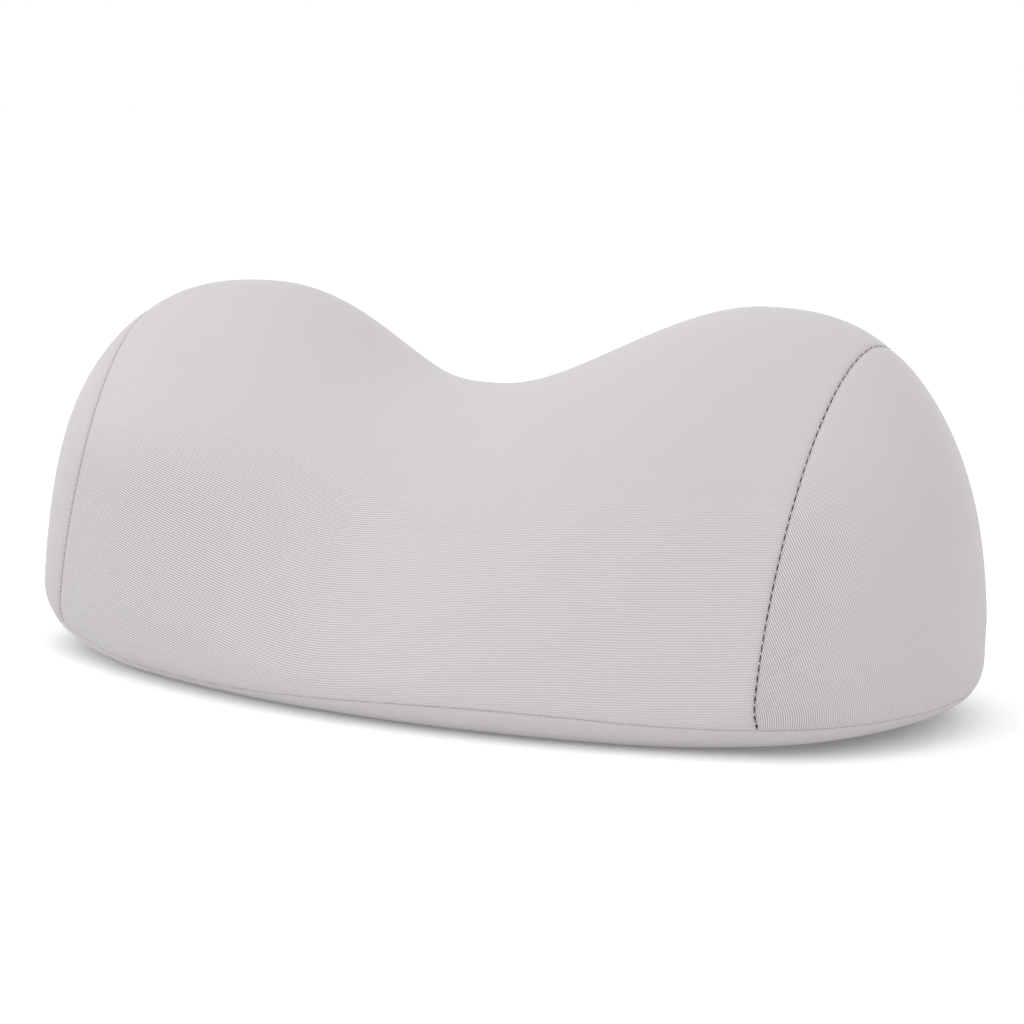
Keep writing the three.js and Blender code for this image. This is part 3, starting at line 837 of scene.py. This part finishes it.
def cover_knit():
    """A matte knit of fine ribs, each a column of small loops, with painted shade in the furrows and a
    painted highlight on the crowns.
    """
    made = Shader("cover_knit", COVER_COLOUR, 0.94, Sheen_Weight=0.25, Sheen_Roughness=0.5, IOR=1.4)
    weave = made.attribute("weave")
    course = made.attribute("course")
    wander = made.times(made.noise(90.0, 1.0), 0.5)
    turn = made.times(made.math("ADD", weave, wander), TAU / RIB)
    rib = made.wave(turn)
    row = made.times(course, TAU / COURSE)
    slant = made.scaled(made.math("SINE", turn), 0.9, row)
    loop = made.wave(slant)
    fuzz = made.noise(2600.0, 2.0)
    relief = made.attribute("relief")
    height = made.scaled(loop, 0.15, made.times(rib, 0.85))
    height = made.scaled(fuzz, 0.15, made.times(height, relief))
    patches = made.ramp(made.noise(14.0, 2.0), (0.35, BLACK), (0.7, WHITE))
    tone = made.blend(patches, COVER_COLOUR, COVER_WARM)
    # The ribs' light and shade are painted into the colour: painted shade in each furrow, a painted highlight
    # on each crown, both weighted by relief.
    furrow_shade = made.ramp(rib, (0.0, (1 - RIB_SHADE,) * 3), (0.5, WHITE))
    crown_highlight = made.ramp(rib, (0.5, BLACK), (1.0, (RIB_SHADE,) * 3))
    furrow_shaded = made.blend(1.0, tone, furrow_shade, "MULTIPLY")
    lit = made.blend(crown_highlight, furrow_shaded, RIB_HIGHLIGHT)
    made.colour(made.blend(relief, tone, lit))
    made.bump(height, 0.0002)
    made.rough(fuzz, 0.08, 0.88)
    return made


def seam_thread():
    """Spun thread, with its twist."""
    made = Shader("seam_thread_spun", THREAD_COLOUR, 0.7, Sheen_Weight=0.3)
    twist = made.bands("DIAGONAL", Scale=900.0, Distortion=1.5)
    dark = tuple(0.75 * c for c in THREAD_COLOUR)
    made.colour(made.ramp(twist, (0.2, dark), (0.8, THREAD_COLOUR)))
    made.bump(twist, 0.00004)
    return made


def zip_tape():
    """A dense woven tape with a fine herringbone."""
    made = Shader("zip_tape_woven", (0.52, 0.50, 0.52), 0.9, Sheen_Weight=0.2)
    up = made.times(made.attribute("weave"), TAU / 0.9)
    along_tape = made.times(made.attribute("course"), TAU / 0.5)
    zigzag = made.scaled(made.math("COSINE", up), 2.2, along_tape)
    yarn = made.wave(zigzag)
    made.colour(made.ramp(yarn, (0.1, (0.43, 0.41, 0.43)), (0.8, (0.56, 0.54, 0.56))))
    made.bump(yarn, 0.0001)
    return made


def zip_coil():
    """Nylon, slightly glossy."""
    made = Shader("zip_coil_nylon", (0.56, 0.54, 0.56), 0.42, IOR=1.5)
    grain = made.noise(700.0, 2.0)
    made.colour(made.ramp(grain, (0.3, (0.52, 0.50, 0.52)), (0.7, (0.6, 0.58, 0.6))))
    made.rough(grain, 0.2, 0.32)
    return made


def zip_metal():
    """Lacquered zinc: smooth, with faint casting mottle and lighter sharp edges."""
    made = Shader("zip_metal_lacquered", (0.55, 0.54, 0.56), 0.35, Metallic=0.85)
    mottle = made.noise(320.0, 4.0, 0.6)
    edge = made.ramp(made.node("NewGeometry").outputs["Pointiness"], (0.5, BLACK), (0.58, WHITE))
    # The colour is lighter on the sharp edges than on the faces.
    lighter_edges = made.blend(edge, (0.52, 0.51, 0.53), (0.72, 0.71, 0.73))
    cast = made.ramp(mottle, (0.3, (0.4, 0.4, 0.42)), (0.7, (0.7, 0.7, 0.72)))
    made.colour(made.blend(0.25, lighter_edges, cast))
    made.rough(mottle, 0.25, 0.25)
    made.bump(mottle, 0.00003)
    return made


def memory_foam():
    """Moulded memory foam: pale, with a soft skin and fine open cells whose hollows are darkened with painted
    shade.
    """
    made = Shader("memory_foam_open", (0.86, 0.84, 0.78), 0.95, Subsurface_Weight=0.05)
    cells = made.node("TexVoronoi", {"Vector": made.place(), "Scale": 900.0}).outputs[0]
    tone = made.ramp(made.noise(40.0, 3.0), (0.3, (0.84, 0.81, 0.74)), (0.7, (0.89, 0.87, 0.81)))
    # Painted shade darkens each open cell's hollow.
    pore_shade = made.ramp(cells, (0.05, (0.7, 0.7, 0.7)), (0.35, WHITE))
    made.colour(made.blend(1.0, tone, pore_shade, "MULTIPLY"))
    made.bump(cells, 0.0002)
    return made


def ribbed(name, colour, roughness, sheen, direction, scale, distortion, dark, light, bump):
    """A plain cloth with fine straight ribs."""
    made = Shader(name, colour, roughness, Sheen_Weight=sheen)
    rib = made.bands(direction, Vector=made.place(), Scale=scale, Distortion=distortion)
    made.colour(made.ramp(rib, (0.1, dark), (0.7, light)))
    made.bump(rib, bump)
    return made


def liner_knit():
    dark, light = (0.74, 0.74, 0.73), (0.86, 0.86, 0.85)
    return ribbed("liner_knit_plain", (0.83, 0.83, 0.82), 0.92, 0.15, "Z", 320.0, 0.6, dark, light, 0.0001)


def care_label_satin():
    dark, light = (0.8, 0.8, 0.78), (0.9, 0.9, 0.88)
    return ribbed("care_label_satin", (0.87, 0.87, 0.85), 0.42, 0.3, "X", 800.0, 0.0, dark, light, 0.00003)


shaders = {
    "cover_knit": cover_knit(),
    "seam_thread": seam_thread(),
    "zip_tape": zip_tape(),
    "zip_coil": zip_coil(),
    "zip_metal": zip_metal(),
    "memory_foam": memory_foam(),
    "liner_knit": liner_knit(),
    "care_label": care_label_satin(),
}


def finished(name, mesh_data, slot, replaced=None, body="pillow", attributes=None):
    """A piece made from points and faces, riding on its body, with its slot's material."""
    piece = make_object(name, *mesh_data, attributes, shaders[slot].material)
    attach(piece, body)
    if replaced:
        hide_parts(replaced)
    return piece


# ---- the cover

for name, (grid, (weave, course), closed) in panels.items():
    points, faces, normals, renamed = weld_panel(grid, closed)
    depth, shift = sewn(points, faces, normals)
    if name in swell:
        depth -= first_of(spread(swell[name], *places_of[name]), renamed, len(points))
    outer = points + shift - normals * depth[:, None]
    values = {
        "weave": first_of(weave, renamed, len(points)),
        "course": first_of(course, renamed, len(points)),
        "relief": relief(name, points),
    }
    values = {key: np.tile(value, 2) for key, value in values.items()}
    sheet = solid_sheet(outer, outer - normals * COVER_THICKNESS, faces)
    piece = finished("cover_" + name, sheet, "cover_knit", name, attributes=values)

# ---- tubes, plates and stitches


def lofted(rings):
    """Points and faces of a closed solid through rings of points, with flat ends."""
    count, sides = rings.shape[:2]
    index = np.arange(count * sides).reshape(count, sides)
    after = np.roll(index, -1, axis=1)
    quads = np.stack([index[:-1], after[:-1], after[1:], index[1:]], -1).reshape(-1, 4).tolist()
    return rings.reshape(-1, 3), quads + [index[0][::-1].tolist(), index[-1].tolist()]


def tube(path, radii, sides, reference):
    """A closed round tube along a path. reference is a direction off the path's."""
    tangents = unit(np.gradient(path, axis=0))
    side = unit(np.cross(tangents, reference))
    up = np.cross(side, tangents)
    turns = np.arange(sides) * TAU / sides
    ring = np.cos(turns)[None, :, None] * side[:, None] + np.sin(turns)[None, :, None] * up[:, None]
    return lofted(path[:, None] + ring * np.broadcast_to(radii, (len(path),))[:, None, None])


def moved(mesh_data, offset):
    points, faces = mesh_data
    return points + np.array(offset), faces


def joined(parts):
    """One point list and face list from several."""
    points = []
    faces = []
    count = 0
    for part_points, part_faces in parts:
        points.append(part_points)
        faces += [[v + count for v in face] for face in part_faces]
        count += len(part_points)
    return np.concatenate(points), faces


def grid_normals(grid):
    """Outward unit normals of a grid of surface points."""
    normals = unit(np.cross(np.gradient(grid, axis=0), np.gradient(grid, axis=1)))
    return normals * np.sign(np.sum(normals * (grid - MIDDLE)))


END_STITCH = Sizes(radius=0.19, half=0.42, skew=0.22, top=-0.12, dive=0.85)
BASE_STITCH = Sizes(radius=0.13, half=0.26, skew=0.3, top=-0.36, dive=0.5)
STITCH_PROFILE = np.linspace(-1, 1, 7)


def stitches_over(points, normals, phases, stitch, seed):
    """Short arches of thread over a seam, one at each whole stitch count."""
    random = np.random.default_rng(seed)
    lengths = arc_lengths(points)
    parts = []
    for count in range(math.ceil(phases[0] + 0.2), math.floor(phases[-1] - 0.2) + 1):
        place = np.interp(count, phases, lengths)
        before, origin, after = at_lengths(points, lengths, np.array([place - 0.4, place, place + 0.4]))
        normal = unit(at_lengths(normals, lengths, np.array([place]))[0])
        step = unit(after - before)
        over = np.cross(normal, step)
        skew = stitch.skew * (1 + 0.4 * random.uniform(-1, 1))
        sideways = STITCH_PROFILE * stitch.half * (1 + 0.15 * random.uniform(-1, 1))
        height = stitch.top - stitch.dive * STITCH_PROFILE**2 + 0.04 * random.uniform(-1, 1)
        offsets = ((sideways, over), (STITCH_PROFILE * skew, step), (height, normal))
        path = origin + sum(np.outer(size, direction) for size, direction in offsets)
        parts.append(tube(path, stitch.radius, 6, step))
    return joined(parts)


main_normals = grid_normals(main)
for side, column, neighbour in (("left", 0, 1), ("right", -1, -2)):
    made = stitches_over(main[:, column], main_normals[:, neighbour], climb_phase, END_STITCH, column + 5)
    finished(side + "_seam_stitches", made, "seam_thread", side + "_seam_thread")

base_normals = grid_normals(base)
base_parts = []
for order, (run, phases) in enumerate(base_runs):
    if phases[0] > phases[-1]:
        phases = phases[0] - phases
    base_parts.append(stitches_over(base_line[run], base_normals[1][run], phases, BASE_STITCH, 40 + order))
finished("base_seam_stitches", joined(base_parts), "seam_thread", "base_seam_thread")

# ---- the zip

ZIP_RADIUS = arc_radius(BACK)
TAPE = Sizes(outer=1.5, inner=2.1, near=0.5, far=5.9)
STOP_LENGTH = 2.4
STOP_X = ZIP_HALF_LENGTH - STOP_LENGTH
COIL_END_X = STOP_X - STOP_LENGTH / 2 - 0.6
SLIDER_LENGTH = 8.4
SLIDER_X = -(COIL_END_X - 3 - SLIDER_LENGTH / 2)
COIL = Sizes(pitch=1.25, wire=0.24, middle=1.2, reach=1.2, depth=0.72, height=0.4)


def on_zip(local, x_at=None):
    """Local points (along, outward, up) to the crest frame: round the zip's arc, or rigidly at x_at."""
    local = np.asarray(local, float)
    flat = x_at is not None
    angle = np.arcsin(x_at / ZIP_RADIUS) if flat else local[..., 0] / ZIP_RADIUS
    angle = np.broadcast_to(angle, local[..., 0].shape)
    outward = np.stack([np.sin(angle), np.cos(angle), np.zeros_like(angle)], -1)
    tangent = np.stack([np.cos(angle), -np.sin(angle), np.zeros_like(angle)], -1)
    points = outward * (ZIP_RADIUS + local[..., 1:2]) + np.array([0, BACK.middle - ZIP_RADIUS, ZIP_HEIGHT])
    points[..., 2] += local[..., 2]
    return points + tangent * local[..., 0:1] if flat else points


def arc_at(x):
    """Length along the zip's arc at x."""
    return ZIP_RADIUS * np.arcsin(x / ZIP_RADIUS)


def coil(sign):
    """A row of nylon loops that lock between the other row's."""
    half = arc_at(COIL_END_X)
    turns = 2 * half / COIL.pitch
    phase = np.linspace(0, turns, int(turns * 14))
    turn = TAU * phase
    pinch = 0.12 * COIL.pitch * np.sin(2 * turn)
    shift = 0 if sign > 0 else COIL.pitch / 2
    place = np.clip(-half + phase * COIL.pitch + pinch + shift, -half, half)
    up = sign * (COIL.middle - COIL.reach * np.cos(turn))
    out = -COIL.depth + COIL.height * np.sin(turn)
    thicker = 1 + 0.25 * np.clip(np.cos(turn), 0, 1) ** 4
    path = on_zip(np.stack([place, out, up], -1))
    return tube(path, COIL.wire * thicker, 6, np.array([1.0, 0.0, 0.03]))


def tape(sign):
    """A flat woven tape, curved round with the pillow's back."""
    half = arc_at(ZIP_HALF_LENGTH + 2)
    run = np.linspace(-half, half, 150)
    rise = np.linspace(TAPE.near, TAPE.far, 8) * sign
    place, up = np.meshgrid(run, rise)
    depths = (TAPE.outer, TAPE.inner)
    outer, inner = (on_zip(np.stack([place, 0 * place - depth, up], -1)) for depth in depths)
    attributes = {"weave": np.tile(up.reshape(-1), 2), "course": np.tile(place.reshape(-1), 2)}
    return solid_strip(outer, inner, sign > 0), attributes


def slab(outline, low, high, bevel):
    """A flat plate with a bevelled edge, from a convex outline of (along, up) points."""
    outline = np.asarray(outline, float)
    inset = outline * (1 - bevel / np.abs(outline).max(0))
    rings = [(inset, low), (outline, low + bevel), (outline, high - bevel), (inset, high)]
    return lofted(np.stack([np.stack([r[:, 0], np.full(len(r), out), r[:, 1]], -1) for r, out in rings]))


def rounded(half_length, near_half, far_half, corner):
    """A tapered outline with round corners, wider at its low end."""
    corners = [(half_length, -far_half), (half_length, far_half)]
    corners += [(-half_length, near_half), (-half_length, -near_half)]
    points = []
    for order, (x, y) in enumerate(corners):
        centre = (x - math.copysign(corner, x), y - math.copysign(corner, y))
        for k in range(6):
            angle = TAU / 4 * (order - 1 + k / 5)
            points.append((centre[0] + corner * math.cos(angle), centre[1] + corner * math.sin(angle)))
    return points


def swept_bar(path, half_width, half_thick):
    """A flat bar along a path in the (along, outward) plane, its width going up and down."""
    path = np.asarray(path, float)
    tangents = unit(np.gradient(path, axis=0))
    normal = np.stack([-tangents[:, 1], tangents[:, 0]], -1)
    chamfered = [(-1, -0.6), (-0.8, -1), (0.8, -1), (1, -0.6), (1, 0.6), (0.8, 1), (-0.8, 1), (-1, 0.6)]
    wide, thick = np.array(chamfered).T
    spots = path[:, None] + normal[:, None] * thick[None, :, None] * half_thick
    widths = np.broadcast_to(wide * half_width, spots.shape[:2])
    return lofted(np.concatenate([spots, widths[..., None]], -1))


def slider():
    """The slider's two plates, the lips round the coils, the neck between the tapes and the pull's bridge."""
    half = SLIDER_LENGTH / 2
    outer = slab(rounded(half, 3.4, 2.9, 0.9), 0.1, 0.9, 0.22)
    inner = slab(rounded(half, 2.2, 2.0, 0.7), -3.1, -2.4, 0.15)
    wedge = [(-1.05, -0.9), (1.05, -0.25), (1.05, 0.25), (-1.05, 0.9)]
    neck = moved(slab(wedge, -2.5, 0.2, 0.02), (1.35 - half, 0, 0))
    run = np.linspace(0.5 - half, half - 0.5, 9)
    lips = []
    for sign in (1, -1):
        along_edge = np.stack([run, np.full(9, -0.3), sign * np.interp(run, [-half, half], [3.1, 2.6])], -1)
        lips.append(tube(along_edge, 0.42, 10, np.array([0.0, 0.0, 1.0])))
    arch = [(-2.5, 0.4), (-2.5, 1.5), (-2.35, 2.15), (-1.9, 2.55), (-1.2, 2.7), (0, 2.72)]
    arch += [(-x, y) for x, y in arch[-2::-1]]
    return joined([outer, inner, neck, *lips, swept_bar(arch, 0.8, 0.38)])


PULL = Sizes(pivot_out=1.6, thick=0.8, length=24.0, half=2.2, waist=1.5, bevel=0.14)
PULL_EYE = Sizes(half=1.15, near=0.4, far=3.7)
PULL_HOLE = Sizes(radius=1.1, from_end=3.6)


def round_points(centre_x, radius, angles):
    return [(centre_x + radius * math.cos(a), radius * math.sin(a)) for a in angles]


def pull_tab():
    """The pull tab, lying flat: a waisted plate with an eye round the bridge and a hole near its end."""
    curve = bpy.data.curves.new("pull_outline", "CURVE")
    curve.dimensions = "2D"
    curve.fill_mode = "BOTH"
    curve.bevel_depth = PULL.bevel
    curve.bevel_resolution = 2
    curve.extrude = PULL.thick / 2 - curve.bevel_depth
    curve.offset = -curve.bevel_depth
    run = np.linspace(0, 1, 28)
    swing = (PULL.half - PULL.waist) / 2
    half = PULL.half - swing + swing * np.cos(TAU * np.clip((run - 0.12) / 0.8, 0, 1))
    tip_x = PULL.length - PULL.half
    upper = list(zip(np.linspace(-PULL_EYE.near, tip_x, 28), half))
    tip = round_points(tip_x, PULL.half, np.linspace(TAU / 4, -TAU / 4, 14)[1:-1])
    lower = [(x, -y) for x, y in upper[::-1]]
    near, far, eye_half = PULL_EYE.near, PULL_EYE.far, PULL_EYE.half
    eye = [(near, -eye_half), (near, eye_half), (far, eye_half), (far, -eye_half)]
    turns = np.linspace(0, TAU, 24, endpoint=False)
    hole = round_points(PULL.length - PULL_HOLE.from_end, PULL_HOLE.radius, turns)
    for outline in (upper + tip + lower, eye, hole):
        spline = curve.splines.new("POLY")
        spline.points.add(len(outline) - 1)
        for point, (x, y) in zip(spline.points, outline):
            point.co = (x, y, 0, 1)
        spline.use_cyclic_u = True
    holder = placed("pull_outline", curve)
    graph = bpy.context.evaluated_depsgraph_get()
    mesh = bpy.data.meshes.new_from_object(holder.evaluated_get(graph))
    points = np.array([v.co for v in mesh.vertices])
    faces = [list(p.vertices) for p in mesh.polygons]
    bpy.data.objects.remove(holder)
    bpy.data.curves.remove(curve)
    return np.stack([points[:, 0], PULL.pivot_out + points[:, 2], -points[:, 1]], -1), faces


def rigid(mesh_data, x_at):
    points, faces = mesh_data
    return on_zip(points, x_at), faces


STOP = Sizes(low=-1.25, high=-0.05, bevel=0.2, off_middle=1.5)


def stop_clamp(half_width, corner):
    half_length = STOP_LENGTH / 2
    outline = rounded(half_length, half_width, half_width, corner)
    return slab(outline, STOP.low, STOP.high, STOP.bevel)


for word, sign in (("upper", 1), ("lower", -1)):
    tape_mesh, tape_attributes = tape(sign)
    tape_name = f"zip_{word}_tape"
    finished(tape_name + "_woven", tape_mesh, "zip_tape", tape_name, attributes=tape_attributes)
    finished(f"zip_{word}_coil_loops", coil(sign), "zip_coil", f"zip_{word}_coil")
    top_stop = rigid(moved(stop_clamp(0.95, 0.3), (0, 0, sign * STOP.off_middle)), -STOP_X)
    finished(f"zip_{word}_top_stop_clamp", top_stop, "zip_metal", f"zip_{word}_top_stop")
finished("zip_bottom_stop_clamp", rigid(stop_clamp(2.4, 0.4), STOP_X), "zip_metal", "zip_bottom_stop")
finished("zip_slider_cast", rigid(slider(), SLIDER_X), "zip_metal", "zip_slider_body", "zip_slider")
finished("zip_pull_cast", rigid(pull_tab(), SLIDER_X), "zip_metal", "zip_pull_tab", "zip_pull")

TOPSTITCH = Sizes(from_edge=1.5, length=2.0, radius=0.16, end=2.0)


def topstitches(sign, seed):
    """A row of stitches through a panel and its tape, beside the zip."""
    random = np.random.default_rng(seed)
    half = arc_at(ZIP_HALF_LENGTH - TOPSTITCH.end)
    parts = []
    for place in np.arange(-half, half, PITCH):
        t = np.linspace(-1, 1, 7)
        tilt = 0.08 * random.uniform(-1, 1)
        up = sign * (ZIP_HALF_SLOT + TOPSTITCH.from_edge) + tilt * t
        out = 0.12 - 0.5 * t**4
        local = np.stack([place + t * TOPSTITCH.length / 2, out, up], -1)
        parts.append(tube(on_zip(local), TOPSTITCH.radius, 6, np.array([0.0, 0.0, 1.0])))
    return joined(parts)


for word, sign in (("upper", 1), ("lower", -1)):
    finished(f"zip_{word}_topstitches", topstitches(sign, 7 + sign), "seam_thread")

# ---- the foam, liner and label inside

LINER = Sizes(outer=2.4, inner=3.0)
CORE_DEPTH = 3.3
ZIP_RELIEF = 2.0  # the foam gives way by this much behind the slider
LABEL = Sizes(outer=1.6, inner=2.0, left=-83.0, right=-64.0, low=27.0, high=38.0)

inside = Shell(72, 34, 34, 7, 16)
behind_zip = (inside.points[:, 1] > 0) & (np.abs(inside.points[:, 0]) < ZIP_HALF_LENGTH + 4)
zip_distance = np.where(behind_zip, np.abs(inside.points[:, 2] - ZIP_HEIGHT), 99)
give = ZIP_RELIEF * smooth_step((6.5 - zip_distance) / 5)


def inset(depth):
    return inside.points - inside.normals * (depth + give)[:, None]


core = finished("foam_core_moulded", (inset(CORE_DEPTH), inside.faces), "memory_foam", "foam_core")

for word, wanted in (("top", False), ("base", True)):
    faces = [f for f in inside.faces if all(v in inside.base_vertices for v in f) == wanted]
    used = np.unique(np.concatenate([np.array(f) for f in faces]))
    order = np.full(len(inside.points), -1)
    order[used] = np.arange(len(used))
    faces = [order[np.array(f)].tolist() for f in faces]
    sock = solid_sheet(inset(LINER.outer)[used], inset(LINER.inner)[used], faces)
    finished(f"liner_{word}_sock", sock, "liner_knit", f"liner_{word}")


def care_label():
    """A small folded label, flat against the inside of the back wall."""
    xs = np.linspace(LABEL.left, LABEL.right, 16)
    zs = np.linspace(LABEL.low, LABEL.high, 10)
    grid = np.stack([skin(xs, np.full_like(xs, z), BACK) for z in zs], 0)
    normals = grid_normals(grid)
    wave = 0.04 * np.sin(np.linspace(0, 5, len(xs)))[None, :, None]
    outer, inner = (grid - normals * (depth + wave) for depth in (LABEL.outer, LABEL.inner))
    return solid_strip(outer, inner, True)


finished("care_label_satin", care_label(), "care_label", "care_label")

# ---- camera, floor and light

AIM = Vector((0.0051, 0.0099, 0.0492))
CAMERA_AZIMUTH = math.radians(34.13)
CAMERA_ELEVATION = math.radians(8.91)
CAMERA_DISTANCE = 0.870
LENS = 99.35

camera_data = bpy.data.cameras.new("camera")
camera_data.lens = LENS
camera_data.sensor_width = 36.0
camera = placed("camera", camera_data)
level = math.cos(CAMERA_ELEVATION)
outwards = (math.sin(CAMERA_AZIMUTH) * level, -math.cos(CAMERA_AZIMUTH) * level, math.sin(CAMERA_ELEVATION))
to_camera = Vector(outwards)
camera.location = AIM + to_camera * CAMERA_DISTANCE
camera.rotation_mode = "QUATERNION"
camera.rotation_quaternion = to_camera.to_track_quat("Z", "Y")
scene.camera = camera
scene.view_settings.view_transform = "Standard"

FLOOR_RINGS = (0.5, 2.0, 12.0)
FLOOR_STEPS = 96


def make_floor():
    """A wide pale disc just under the pillow."""
    turns = TAU * np.arange(FLOOR_STEPS) / FLOOR_STEPS
    circle = np.stack([np.cos(turns), np.sin(turns), 0 * turns], -1)
    points = np.concatenate([np.zeros((1, 3)), *(radius * circle for radius in FLOOR_RINGS)])
    faces = [[0, 1 + k, 1 + (k + 1) % FLOOR_STEPS] for k in range(FLOOR_STEPS)]
    faces += (1 + grid_faces(len(FLOOR_RINGS), FLOOR_STEPS, closed=True)[:, ::-1]).tolist()
    mesh = bpy.data.meshes.new("floor")
    mesh.from_pydata(points.tolist(), [], faces)
    floor = placed("floor", mesh)
    floor.location.z = cad_low.z - 0.0004
    glow = {"Emission_Color": (1, 1, 1, 1), "Emission_Strength": 0.1}
    made = Shader("studio_floor", (0.92, 0.92, 0.925), 0.9, **glow)
    made.colour(made.ramp(made.noise(3.0, 3.0), (0.3, (0.915, 0.915, 0.92)), (0.7, (0.93, 0.93, 0.935))))
    mesh.materials.append(made.material)


make_floor()


CENTRE = (cad_low + cad_high) / 2


def area_light(name, place, size, watts):
    data = bpy.data.lights.new(name, "AREA")
    data.shape = "DISK"
    data.size = size
    data.energy = watts
    light = placed(name, data)
    light.location = place
    light.rotation_mode = "QUATERNION"
    light.rotation_quaternion = (Vector(place) - CENTRE).to_track_quat("Z", "Y")


area_light("top_soft", (-0.15, -0.4, 1.9), 1.6, 9.0)
area_light("front_soft", (-0.9, -1.8, 0.8), 1.4, 4.4)
area_light("low_fill", (-0.1, -1.3, 0.12), 0.5, 0.9)

world = bpy.data.worlds.new("studio")
scene.world = world
world.use_nodes = True
sky = world.node_tree.nodes["Background"]
sky.inputs["Color"].default_value = (1, 1, 1, 1)
sky.inputs["Strength"].default_value = 1.0
